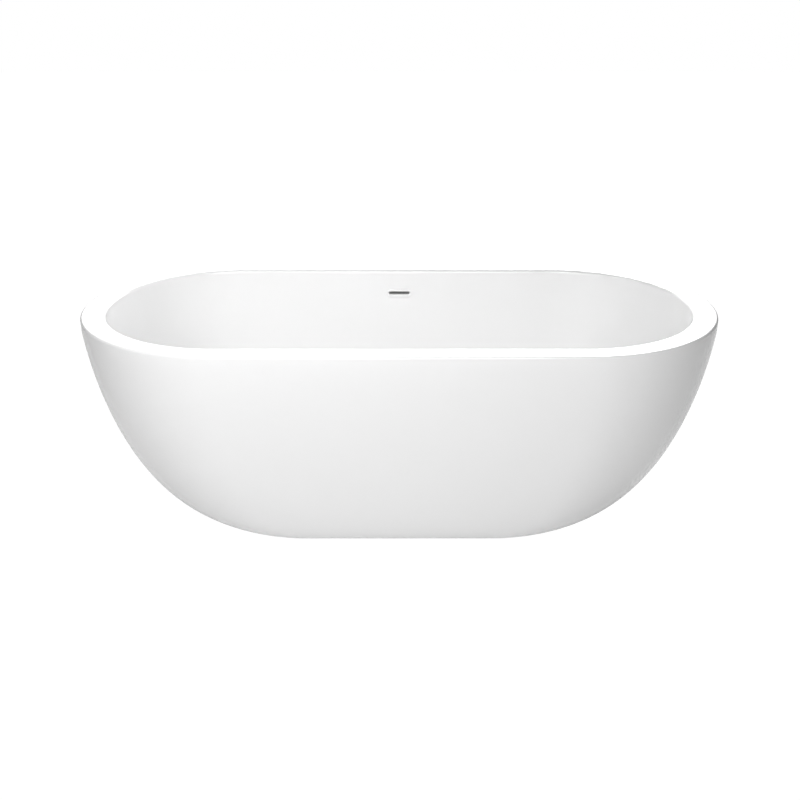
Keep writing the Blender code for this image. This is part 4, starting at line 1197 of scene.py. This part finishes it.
class TUB_OT_waste(bpy.types.Operator):
    """Builds the waste: the plated flange, its gaskets, the shoe, the tail nut, the seal and the tailpiece"""

    bl_idname = "tub.waste"
    bl_label = "Waste"
    bl_options = {"REGISTER", "UNDO"}

    def execute(self, context):
        self.build_flange()
        self.build_gasket("waste_gasket_top", 0.0240, 0.0003)
        self.build_gasket("waste_gasket_bottom", 0.0240, 0.0008)
        self.build_shoe(context.scene.tub_fittings.hose_radius)
        self.build_tail_nut()
        self.build_seal()
        self.build_tailpiece()
        return {"FINISHED"}

    def build_flange(self):
        """A flange with a rolled edge and a conical seat, a threaded tube, and a spider with a hub."""
        low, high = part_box("waste_flange")
        radius, bore, seat, thickness = 0.0225, 0.0195, 0.004, 0.003
        under = high.z - thickness
        rings = threaded_rings(radius, 0.0009, 0.0020, low.z + 0.0005, under - 0.0005, 96, plain=0.001)
        edge = (
            (high.x - 0.0004, under),
            (high.x, under + 0.0004),
            (high.x, under + 0.0011),
            (high.x - 0.0003, under + 0.0019),
            (high.x - 0.0010, high.z - 0.0004),
            (high.x - 0.0020, high.z),
            (bore + seat + 0.0004, high.z),
            (bore + seat, high.z - 0.0001),
            (bore + seat - 0.0004, high.z - 0.0005),
            (bore + 0.0003, high.z - seat + 0.0002),
            (bore, high.z - seat - 0.0003),
            (bore, low.z + 0.0005),
            (bore + 0.0005, low.z),
            (radius - 0.0009, low.z),
        )
        rings += [circle(r, z, 96) for r, z in edge]
        flange = loft("waste_flange", ["chrome"], rings, closed=True)
        spider_top, height = 0.1226, 0.005
        hub_radius, hub_bore, reach = 0.0114, 0.0084, 0.0210
        hub = ((hub_radius - 0.0005, spider_top - height), (hub_radius, spider_top - height + 0.0005))
        hub += ((hub_radius, spider_top - 0.0005), (hub_radius - 0.0005, spider_top))
        for turn in (0, 1):
            outline = ((-0.0010, 0.0), (-0.0015, 0.0008), (-0.0015, 0.0034), (-0.0007, 0.0040))
            outline += tuple((-x, z) for x, z in reversed(outline))
            middle = spider_top - height / 2 - 0.0020
            bar = [[Vector((end, x, middle + z)) for x, z in outline] for end in (-reach, reach)]
            if turn:
                bar = [[Vector((-p.y, p.x, p.z)) for p in ring] for ring in bar]
            combine(flange, loft("spider_bar", ["chrome"], bar, capped=True), "UNION")
        combine(flange, turned("spider_hub", "chrome", hub), "UNION")
        bore_ends = ((hub_bore, spider_top - 0.008), (hub_bore, spider_top + 0.003))
        combine(flange, turned("hub_cut", "chrome", bore_ends), "DIFFERENCE")
        take_name(flange, "waste_flange")

    def build_gasket(self, node, inner, edge):
        low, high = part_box(node)
        corners = ((high.x, low.z), (high.x, high.z), (inner, high.z), (inner, low.z))
        take_name(turned(node, "rubber", rounded_profile(corners, edge), hollow=True, steps=96), node)

    def build_shoe(self, inlet_radius):
        """The moulded body: a flange with gussets under it, and a side inlet with a collar at its root."""
        low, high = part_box("waste_shoe")
        body, bore, flange = 0.0283, 0.0228, 0.004
        corners = (
            (body, low.z, 0.0006),
            (body, high.z - flange, 0.0015),
            (high.x, high.z - flange, 0.0008),
            (high.x, high.z, 0.0004),
            (body - 0.010, high.z, 0.0),
            (body - 0.010, low.z, 0.0),
        )
        shoe = turned("waste_shoe", "pipe_plastic", rounded_profile(corners, 0.0, 4), hollow=True, steps=96)
        build = bmesh.new()
        outline = (
            (body - 0.002, 0.0), (body - 0.002, -0.0190), (body + 0.0004, -0.0185), (high.x - 0.0010, -0.0040)
        )
        outline += ((high.x - 0.0010, 0.0),)
        for gusset in range(12):
            turn = Matrix.Rotation(2 * pi * (gusset + 0.5) / 12, 3, "Z")
            rings = [[turn @ Vector((r, y, high.z - 0.003 + z)) for r, z in outline] for y in (-0.001, 0.001)]
            skin_rings(build, rings, capped=True)
        combine(shoe, mesh_piece("gussets", ["pipe_plastic"], build), "UNION")
        level = 0.0804
        for radius, collar, start, end, operation in (
            (inlet_radius, 0.0016, body - 0.006, high.y, "UNION"),
            (inlet_radius - 0.002, 0.0, 0.0, high.y + 0.001, "DIFFERENCE"),
        ):
            ends = (
                (start, radius + collar),
                (body + 0.0035, radius + collar),
                (body + 0.0045, radius),
                (end, radius),
            )
            if operation == "UNION":
                ends = (*ends[:3], (end - 0.0006, radius), (end, radius - 0.0006))
            rings = [[Vector((p.x, y, level + p.y)) for p in circle(r, 0)] for y, r in ends]
            combine(shoe, loft("inlet", ["pipe_plastic"], rings, capped=True), operation)
        ends = ((bore, low.z - 0.001), (bore, high.z + 0.001))
        take_name(combine(shoe, turned("bore", "pipe_plastic", ends, steps=96), "DIFFERENCE"), "waste_shoe")

    def build_tail_nut(self):
        """A hand nut with grip flutes round it."""
        low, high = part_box("waste_tail_nut")
        outer, bore, hole, web = high.x, 0.0286, 0.0203, low.z + 0.004
        steps = 192
        rings = [
            circle(outer - 0.0016, low.z, steps), fluted_ring(outer - 0.0004, 0.0, 24, low.z + 0.0012, steps)
        ]
        rings += [fluted_ring(outer, 0.0014, 24, z, steps) for z in (low.z + 0.0022, high.z - 0.0030)]
        rings += [fluted_ring(outer, 0.0, 24, high.z - 0.0022, steps), circle(outer, high.z - 0.0006, steps)]
        rings += [circle(outer - 0.0006, high.z, steps), circle(bore + 0.0006, high.z, steps)]
        rings += [circle(bore, high.z - 0.0006, steps), circle(bore, web, steps), circle(hole, web, steps)]
        rings += [circle(hole, low.z + 0.0006, steps), circle(hole + 0.0006, low.z, steps)]
        take_name(loft("waste_tail_nut", ["pipe_plastic"], rings, closed=True), "waste_tail_nut")

    def build_seal(self):
        """A tapered seal, squeezed between the nut and the shoe."""
        low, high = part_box("waste_tail_seal")
        corners = (
            (high.x - 0.0006, low.z),
            (high.x, low.z + 0.0016),
            (high.x, high.z),
            (0.0203, high.z),
            (0.0203, low.z),
        )
        profile = rounded_profile(corners, 0.0005)
        take_name(turned("waste_tail_seal", "rubber", profile, hollow=True), "waste_tail_seal")

    def build_tailpiece(self):
        """A plated pipe with rolled ends and a stop bead."""
        low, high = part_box("waste_tailpiece")
        outer, inner = high.x, high.x - 0.0025
        profile = [(inner + 0.0012, low.z), (outer - 0.0006, low.z), (outer - 0.0001, low.z + 0.0007)]
        bead = low.z + 0.010
        profile += [
            (outer - 0.0006, low.z + 0.0016), (outer - 0.0006, bead - 0.0012), (outer - 0.0002, bead - 0.0007)
        ]
        profile += [(outer, bead), (outer - 0.0002, bead + 0.0007), (outer - 0.0006, bead + 0.0012)]
        profile += [(outer - 0.0006, bead + 0.004), (outer, bead + 0.005), (outer, high.z - 0.0005)]
        profile += [
            (outer - 0.0005, high.z),
            (inner + 0.0005, high.z),
            (inner, high.z - 0.0005),
            (inner, low.z + 0.0008),
        ]
        take_name(turned("waste_tailpiece", "chrome", profile, hollow=True, steps=96), "waste_tailpiece")


# ---------------------------------------------------------------- pop-up plug


class TUB_OT_plug(bpy.types.Operator):
    """Builds the pop-up plug with its seal and stem, and the sprung cartridge that it presses into"""

    bl_idname = "tub.plug"
    bl_label = "Pop-up Plug"
    bl_options = {"REGISTER", "UNDO"}

    def execute(self, context):
        self.build_cap()
        self.build_seal()
        self.build_stem()
        self.build_cartridge()
        self.build_spring()
        return {"FINISHED"}

    def build_cap(self):
        """A low dome with a rolled edge, hollowed a little underneath, on a boss for the stem."""
        low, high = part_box("plug_cap")
        radius, boss, under = high.x, 0.0095, low.z + 0.006
        profile = [
            (boss - 0.0005, low.z), (boss, low.z + 0.0005), (boss, under - 0.0003), (boss + 0.0006, under)
        ]
        profile += [(radius - 0.0012, under), (radius - 0.0004, under + 0.0002), (radius, under + 0.0008)]
        edge_top = under + 0.0020
        profile += [(radius - 0.0002, under + 0.0014), (radius - 0.0008, edge_top - 0.0001)]
        crown = high.z - edge_top
        steps = 14
        for step in range(steps + 1):
            r = (radius - 0.0016) * (1 - step / steps)
            share_in = 1 - (r / (radius - 0.0016)) ** 2
            profile.append((max(r, 0.0004), edge_top + crown * share_in))
        take_name(turned("plug_cap", "chrome", profile, steps=96), "plug_cap")

    def build_seal(self):
        low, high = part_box("plug_seal")
        inner, outer = 0.0098, high.x
        middle = (low.z + high.z) / 2
        profile = [(outer - 0.0008, low.z + 0.0003), (outer - 0.0002, low.z + 0.0007), (outer, middle)]
        profile += [
            (outer - 0.0001, high.z - 0.0008), (outer - 0.0008, high.z - 0.0002), (outer - 0.0014, high.z)
        ]
        profile += [
            (inner + 0.0003, high.z),
            (inner, high.z - 0.0003),
            (inner, low.z + 0.0003),
            (inner + 0.0003, low.z),
        ]
        profile += [(outer - 0.0030, low.z), (outer - 0.0022, low.z + 0.0005), (outer - 0.0014, low.z)]
        take_name(turned("plug_seal", "rubber", profile, hollow=True, steps=96), "plug_seal")

    def build_stem(self):
        """A turned stem with a grooved piston at its foot and a thread at its head."""
        low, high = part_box("plug_stem")
        piston, stem, piston_top = high.x, 0.003, low.z + 0.004
        profile = [(piston - 0.0004, low.z), (piston, low.z + 0.0004), (piston, low.z + 0.0014)]
        profile += [
            (piston - 0.0007, low.z + 0.0016), (piston - 0.0007, low.z + 0.0024), (piston, low.z + 0.0026)
        ]
        profile += [(piston, piston_top - 0.0004), (piston - 0.0004, piston_top), (stem, piston_top)]
        rings = [circle(r, z, SMALL_STEPS) for r, z in profile]
        rings += threaded_rings(stem, 0.0004, 0.0008, high.z - 0.0090, high.z - 0.0004)
        rings.append(circle(stem - 0.0005, high.z, SMALL_STEPS))
        take_name(loft("plug_stem", ["brass"], rings, capped=True), "plug_stem")

    def build_cartridge(self):
        low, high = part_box("plug_cartridge")
        body, wall, collar = 0.008, 0.0015, high.x
        inner, guide, lid = body - wall, 0.0034, high.z - 0.0028
        seat = high.z - 0.002
        rings = [circle(r, z, SMALL_STEPS * 2) for r, z in self.cartridge_inside(low.z + wall, lid, inner, guide, high.z)]
        rings += [
            circle(collar - 0.0004, high.z, 64), circle(collar, high.z - 0.0004, 64), circle(collar, seat, 64)
        ]
        rings.append(circle(body, seat, 64))
        rings += threaded_rings(body, 0.0005, 0.0010, low.z + 0.0010, seat - 0.0010, 64, plain=0.0005)[::-1]
        rings += [circle(body - 0.0006, low.z, 64)]
        take_name(loft("plug_cartridge", ["brass"], rings, capped=True), "plug_cartridge")

    def cartridge_inside(self, floor_z, lid, inner, guide, top):
        return (
            (inner - 0.0005, floor_z),
            (inner, floor_z + 0.0005),
            (inner, lid),
            (guide, lid),
            (guide, top - 0.0003),
            (guide + 0.0003, top),
        )

    def build_spring(self):
        """A coil spring with flat closed ends."""
        low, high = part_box("plug_spring")
        wire, radius, turns = 0.0005, 0.0045, 6
        sides, steps_each = 10, 28
        rings = []
        pitch = (high.z - low.z - 2 * wire - 2 * 2.2 * wire) / (turns - 2)
        height = low.z + wire
        total = turns * steps_each
        for step in range(total + 1):
            turn = step / steps_each
            angle = 2 * pi * turn
            outwards = Vector((cos(angle), sin(angle), 0))
            centre = radius * outwards + Vector((0, 0, height))
            angles = [2 * pi * k / sides for k in range(sides)]
            rings.append([centre + wire * (cos(a) * outwards + Vector((0, 0, sin(a)))) for a in angles])
            end = min(turn, turns - turn)
            height += (2.2 * wire if end < 1 else pitch) / steps_each
        take_name(loft("plug_spring", ["zinc"], rings, capped=True, sharp=60), "plug_spring")


# ---------------------------------------------------------------- overflow


def slot_ring(half_length, half_height, y, raised=0.0):
    """An upright half-round-ended outline for a part given by its half sizes."""
    return slot_outline(2 * half_length, 2 * half_height, y, raised, 64)


def fluted_tube(path, square, radius, depth, count, steps):
    """Rings of a hand nut's outside along a straight path."""
    across = Vector((1, 0, 0))
    rings = []
    for point, own_radius, own_depth in zip(path, radius, depth):
        ring = []
        for k in range(steps):
            angle = 2 * pi * k / steps
            own = own_radius - own_depth * max(0.0, cos(count * angle)) ** 2
            ring.append(point + own * (cos(angle) * across + sin(angle) * square))
        rings.append(ring)
    return rings


class TUB_OT_overflow(bpy.types.Operator):
    """Builds the overflow: its trim, gasket and housing, and the corrugated hose down to the waste"""

    bl_idname = "tub.overflow"
    bl_label = "Overflow"
    bl_options = {"REGISTER", "UNDO"}

    def execute(self, context):
        fittings = context.scene.tub_fittings
        self.seat = overflow_seat(context.scene.tub_shells, fittings)
        self.build_trim(fittings)
        self.build_gasket()
        self.build_housing(fittings.hose_radius)
        self.build_hose(fittings)
        return {"FINISHED"}

    def place(self, piece, node):
        piece.matrix_world = self.seat
        bpy.context.view_layer.update()
        take_name(piece, node)

    def build_trim(self, fittings):
        """A white cover with a soft rolled edge round its face and round its slot, on a spigot."""
        half_length, half_height = fittings.trim_length / 2, fittings.trim_height / 2
        slot_half, slot_high, raised = fittings.slot_length / 2, fittings.slot_height / 2, fittings.slot_raise
        face, back, spigot, wall = -0.0028, -0.0003, 0.012, 0.0015
        steps = 6
        rings = [slot_ring(half_length - 0.0002, half_height - 0.0002, back)]
        rings.append(slot_ring(half_length, half_height, back - 0.0003))
        roll = 0.0018
        for step in range(steps + 1):
            angle = pi / 2 * step / steps
            inset = roll * (1 - cos(angle))
            rings.append(slot_ring(half_length - inset, half_height - inset, face + roll * (1 - sin(angle))))
        lip = 0.0012
        for step in range(steps + 1):
            angle = pi / 2 * step / steps
            outset = lip * (1 - sin(angle))
            y = face + lip * (1 - cos(angle))
            rings.append(slot_ring(slot_half + outset, slot_high + outset, y, raised))
        rings.append(slot_ring(slot_half, slot_high, spigot - 0.0003, raised))
        rings.append(slot_ring(slot_half + 0.0003, slot_high + 0.0003, spigot, raised))
        rings.append(slot_ring(slot_half + wall - 0.0004, slot_high + wall - 0.0004, spigot, raised))
        rings.append(slot_ring(slot_half + wall, slot_high + wall, spigot - 0.0005, raised))
        rings.append(slot_ring(slot_half + wall, slot_high + wall, back, raised))
        self.place(loft("overflow_trim", ["acrylic"], rings, closed=True), "overflow_trim")

    def build_gasket(self):
        inner_length, inner_height, outer_length, outer_height = 0.0345, 0.0090, 0.0425, 0.0170
        low, high, ease = 0.0063, 0.0083, 0.0003
        rings = []
        for y, inset in ((low, ease), (low + ease, 0.0), (high - ease, 0.0), (high, ease)):
            rings.append(slot_ring(outer_length - inset, outer_height - inset, y))
        for y, inset in ((high, ease), (high - ease, 0.0), (low + ease, 0.0), (low, ease)):
            rings.append(slot_ring(inner_length + inset, inner_height + inset, y))
        self.place(loft("overflow_gasket", ["rubber"], rings, closed=True), "overflow_gasket")

    def build_housing(self, outlet_radius):
        """A moulded box with a flange, stiffening ribs and a ringed outlet."""
        front, back, wall = 0.0086, 0.0426, 0.003
        half_length, half_height, flange = 0.0375, 0.0120, 0.005
        inside_length, inside_height = half_length - wall, half_height - wall
        flange_back, ease = front + wall, 0.0020
        rings = [slot_ring(inside_length - 0.0015, inside_height - 0.0015, back - wall)]
        rings.append(slot_ring(inside_length, inside_height, back - wall - 0.0015))
        rings.append(slot_ring(inside_length, inside_height, front))
        for y, inset in (
            (front, 0.0004), (front + 0.0004, 0.0), (flange_back - 0.0006, 0.0), (flange_back, 0.0006)
        ):
            rings.append(slot_ring(half_length + flange - inset, half_height + flange - inset, y))
        rings.append(slot_ring(half_length + 0.0006, half_height + 0.0006, flange_back))
        rings.append(slot_ring(half_length, half_height, flange_back + 0.0006))
        for y, inset in ((back - ease, 0.0), (back - ease * 0.3, ease * 0.3), (back, ease)):
            rings.append(slot_ring(half_length - inset, half_height - inset, y))
        housing = loft("overflow_housing", ["pipe_plastic"], rings, capped=True)
        stub_y, stub_end, low = 0.0271, -0.034, -half_height
        collar = ((outlet_radius + 0.0014, low - 0.0030), (outlet_radius + 0.0014, low + 0.0024))
        outlet = (
            (outlet_radius - 0.0005, stub_end),
            (outlet_radius, stub_end + 0.0006),
            (outlet_radius, low - 0.0045),
        )
        solid = turned("outlet", "pipe_plastic", (*outlet, *collar), steps=64)
        bore = ((outlet_radius - 0.002, stub_end - 0.001), (outlet_radius - 0.002, low + 2 * wall))
        hole = turned("outlet_bore", "pipe_plastic", bore, steps=64)
        for shape, operation in ((solid, "UNION"), (hole, "DIFFERENCE")):
            shape.location = (0, stub_y, 0)
            combine(housing, shape, operation)
        build = bmesh.new()
        for x in (-0.027, -0.0135, 0.0, 0.0135, 0.027):
            outline = ((-0.0007, 0.0110), (0.0007, 0.0110), (0.0007, 0.0134), (-0.0007, 0.0134))
            for y_low, y_high in ((flange_back - 0.001, back - 0.006),):
                rings = [[Vector((x + a, y, z)) for a, z in outline] for y in (y_low, y_high)]
                skin_rings(build, rings, capped=True)
        combine(housing, mesh_piece("ribs", ["pipe_plastic"], build), "UNION")
        self.place(housing, "overflow_housing")

    def hose_line(self, radius):
        """The hose's middle line: straight out of each union and bending between them."""
        start = self.seat @ Vector((0, 0.0271, -0.0343))
        down = (self.seat.to_3x3() @ Vector((0, 0, -1))).normalized()
        end = Vector((0, 0.0606, 0.0804))
        straight = 0.020
        first, last = start + down * straight, end + Vector((0, straight, 0))
        drop, run = start.z - end.z, start.y - end.y
        controls = (first, start + down * drop * 0.95, end + Vector((0, run * 0.80, -radius)), last)
        fine = 400
        points = [start.lerp(first, k / 20) for k in range(20)]
        points += [Vector([bezier([c[axis] for c in controls], k / fine) for axis in range(3)]) for k in range(fine + 1)]
        points += [last.lerp(end, k / 20) for k in range(1, 21)]
        return points, start, down, end

    def build_hose(self, fittings):
        """A corrugated hose with plain cuffs, and the hand nut at each end."""
        radius = fittings.hose_radius
        points, start, down, end = self.hose_line(radius)
        travelled = [0.0]
        for a, b in zip(points, points[1:]):
            travelled.append(travelled[-1] + (b - a).length)
        total, cuff, pitch = travelled[-1], 0.016, fittings.hose_pitch
        count = round((total - 2 * cuff) / pitch)
        pitch = (total - 2 * cuff) / count
        stations = [(0.0, radius - 0.0004), (0.0005, radius), (cuff, radius)]
        depth = 0.0019
        for fold in range(count):
            base = cuff + fold * pitch
            shape = ((0.14, 0.35), (0.24, 1.0), (0.42, 1.0), (0.52, 0.35), (0.62, 0.0), (0.98, 0.0))
            stations += [(base + pitch * t, radius - depth * d) for t, d in shape]
        stations += [(total - cuff, radius), (total - 0.0005, radius), (total, radius - 0.0004)]
        path, squares = [], []
        index = 0
        for along, _ in stations:
            while index < len(points) - 2 and travelled[index + 1] < along:
                index += 1
            share_along = (along - travelled[index]) / (travelled[index + 1] - travelled[index])
            path.append(points[index].lerp(points[index + 1], share_along))
            before, after = points[max(index - 3, 0)], points[min(index + 4, len(points) - 1)]
            heading = (after - before).normalized()
            squares.append(Vector((0, -heading.z, heading.y)))
        steps = 40
        outer = tube_along(path, squares, [r for _, r in stations], steps)
        wall = 0.0010
        inner_radii = [min(r - wall, radius - 0.002) for _, r in stations]
        inner = tube_along(path[::-1], squares[::-1], inner_radii[::-1], steps)
        take_name(
            loft("overflow_hose", ["hose_plastic"], outer + inner, closed=True, sharp=50), "overflow_hose"
        )
        self.build_union("hose_union_top", start, down, radius)
        self.build_union("hose_union_bottom", end, Vector((0, -1, 0)), radius)

    def build_union(self, node, centre, along, hose_radius):
        """A hand nut: grip flutes between two plain bands."""
        bore, outside, length_along = hose_radius + 0.0003, hose_radius + 0.0038, 0.020
        square = Vector((0, -along.z, along.y))
        first = centre - along * length_along * 0.6
        stations = (
            (0.0000, outside - 0.0007, 0.0),
            (0.0006, outside, 0.0),
            (0.0030, outside, 0.0),
            (0.0036, outside, 0.0011),
            (0.0150, outside, 0.0011),
            (0.0158, outside - 0.0004, 0.0),
            (0.0194, outside - 0.0009, 0.0),
            (0.0200, outside - 0.0014, 0.0),
        )
        path = [first + along * s[0] for s in stations]
        rings = fluted_tube(path, square, [s[1] for s in stations], [s[2] for s in stations], 20, 160)
        inside = ((0.0200, bore + 0.0004), (0.0196, bore), (0.0004, bore), (0.0000, bore + 0.0004))
        rings += tube_along([first + along * s for s, _ in inside], [square] * 4, [r for _, r in inside], 160)
        take_name(loft(node, ["pipe_plastic"], rings, closed=True), node)


# ---------------------------------------------------------------- floor, light and camera


def studio_floor():
    """Pale matt floor, seen only from above, so that the underside can be looked at through it."""
    made = bpy.data.materials.new("studio_floor")
    made.use_nodes = True
    tree = made.node_tree
    wiring = Wiring(tree)
    shader = tree.nodes["Principled BSDF"]
    mottle = wiring.spread(wiring.noise(0.7, 3.0), 0.3, 0.7)
    wiring.put(shader.inputs["Base Color"], wiring.mix(mottle, (0.76, 0.76, 0.76, 1), (0.79, 0.79, 0.79, 1)))
    shader.inputs["Roughness"].default_value = 0.9
    shader.inputs["Specular IOR Level"].default_value = 0.1
    shader.inputs["Emission Color"].default_value = (1, 1, 1, 1)
    shader.inputs["Emission Strength"].default_value = 0.1
    clear = wiring.add("BsdfTransparent").outputs["BSDF"]
    bright = wiring.add("Emission", {"Color": (1, 1, 1, 1), "Strength": 1.045}).outputs["Emission"]
    seen = wiring.add("LightPath").outputs["Is Camera Ray"]
    lit = wiring.add(
        "MixShader", {0: wiring.math("MULTIPLY", seen, 0.96), 1: shader.outputs["BSDF"], 2: bright}
    )
    behind = wiring.add("NewGeometry").outputs["Backfacing"]
    shown = wiring.add("MixShader", {0: behind, 1: lit.outputs[0], 2: clear})
    tree.links.new(shown.outputs[0], tree.nodes["Material Output"].inputs["Surface"])
    return made


class TUB_OT_studio(bpy.types.Operator):
    """Builds the pale floor, the soft lights, the camera and the white surroundings"""

    bl_idname = "tub.studio"
    bl_label = "Studio"
    bl_options = {"REGISTER", "UNDO"}

    def execute(self, context):
        studio, scene = context.scene.tub_studio, context.scene
        self.build_floor()
        self.build_world(studio.sky)
        self.build_light("key_light", (0.2, -2.6, 2.6), (0.0, 0.0, 0.3), 1.4, studio.key)
        self.build_light("over_light", (-0.5, -0.2, 1.6), (-0.3, 0.0, 0.3), 0.9, studio.over)
        self.build_light("side_light", (-1.4, -0.7, 1.2), (-0.5, 0.0, 0.4), 0.8, studio.side)
        self.build_light("front_light", (-0.5, -1.6, 1.2), (-0.2, 0.0, 0.3), 1.2, studio.front)
        self.build_light("back_light", (0.0, 3.2, 1.7), (0.0, 0.0, 0.5), 5.6, studio.back, 2.4)
        self.build_light("back_left_light", (-0.8, 2.6, 1.8), (0.0, 0.0, 0.3), 1.6, studio.back_left)
        self.build_light("back_right_light", (0.9, 2.4, 1.7), (0.3, 0.0, 0.5), 1.6, studio.back_right)
        self.build_camera(studio)
        scene.view_settings.view_transform = "Standard"
        scene.view_settings.look = "None"
        scene.view_settings.exposure = 0.0
        scene.view_settings.gamma = 1.0
        return {"FINISHED"}

    def build_floor(self):
        half = 12.0
        build = bmesh.new()
        corners = ((-half, -half), (half, -half), (half, half), (-half, half))
        build.faces.new([build.verts.new((x, y, -0.0002)) for x, y in corners])
        mesh = bpy.data.meshes.new("studio_floor")
        build.to_mesh(mesh)
        build.free()
        mesh.materials.append(studio_floor())
        plane = bpy.data.objects.new("studio_floor", mesh)
        bpy.context.scene.collection.objects.link(plane)
        plane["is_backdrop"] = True

    def build_world(self, strength):
        """White for the camera, and an even soft light for everything else."""
        world = bpy.data.worlds.new("studio_world")
        bpy.context.scene.world = world
        world.use_nodes = True
        wiring = Wiring(world.node_tree)
        seen = wiring.add("LightPath").outputs["Is Camera Ray"]
        background = world.node_tree.nodes["Background"]
        background.inputs["Color"].default_value = (1, 1, 1, 1)
        wiring.put(background.inputs["Strength"], wiring.math("MAXIMUM", seen, strength))

    def build_light(self, name, place, target, size, watts, height=None):
        """An oval light, which is round unless it is given a height of its own."""
        data = bpy.data.lights.new(name, "AREA")
        data.shape = "ELLIPSE"
        data.size = size
        data.size_y = height or size
        data.energy = watts
        light = bpy.data.objects.new(name, data)
        light.location = place
        light.rotation_euler = (Vector(target) - Vector(place)).to_track_quat("-Z", "Y").to_euler()
        bpy.context.scene.collection.objects.link(light)

    def build_camera(self, studio):
        data = bpy.data.cameras.new("camera")
        data.lens = studio.lens
        data.sensor_width = 36.0
        data.shift_x = studio.shift
        data.clip_start, data.clip_end = 0.05, 60.0
        camera = bpy.data.objects.new("camera", data)
        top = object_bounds()[1][2]
        out = Vector((0, -cos(studio.elevation), sin(studio.elevation))) * studio.distance
        camera.location = Vector((0, 0, top)) + out
        camera.rotation_euler = (pi / 2 - studio.pitch, 0, 0)
        bpy.context.scene.collection.objects.link(camera)
        bpy.context.scene.camera = camera


# ---------------------------------------------------------------- panel and registration


class TUB_PT_bathtub(bpy.types.Panel):
    """Lists the sizes, the finishes and what each button builds"""

    bl_idname = "TUB_PT_bathtub"
    bl_label = "Freestanding Bathtub"
    bl_space_type = "VIEW_3D"
    bl_region_type = "UI"
    bl_category = "Bathtub"

    def draw(self, context):
        layout = self.layout
        for settings in (
            context.scene.tub_shells,
            context.scene.tub_fittings,
            context.scene.tub_finish,
            context.scene.tub_studio,
        ):
            column = layout.column(align=True)
            for name in settings.__annotations__:
                column.prop(settings, name)
        for operator in OPERATORS:
            layout.operator(operator.bl_idname)


SETTINGS = {
    "tub_shells": TubShellSizes,
    "tub_fittings": TubFittingSizes,
    "tub_finish": TubFinish,
    "tub_studio": TubStudio,
}
OPERATORS = (
    TUB_OT_shells, TUB_OT_frame, TUB_OT_feet, TUB_OT_waste, TUB_OT_plug, TUB_OT_overflow, TUB_OT_studio
)


def register():
    for made in (*SETTINGS.values(), *OPERATORS, TUB_PT_bathtub):
        bpy.utils.register_class(made)
    for name, settings in SETTINGS.items():
        setattr(bpy.types.Scene, name, PointerProperty(type=settings))


def unregister():
    for name in SETTINGS:
        delattr(bpy.types.Scene, name)
    for made in reversed((*SETTINGS.values(), *OPERATORS, TUB_PT_bathtub)):
        bpy.utils.unregister_class(made)


def main():
    register()
    bpy.ops.tub.shells()
    bpy.ops.tub.frame()
    bpy.ops.tub.feet()
    bpy.ops.tub.waste()
    bpy.ops.tub.plug()
    bpy.ops.tub.overflow()
    bpy.ops.tub.studio()


if __name__ == "__main__":
    main()
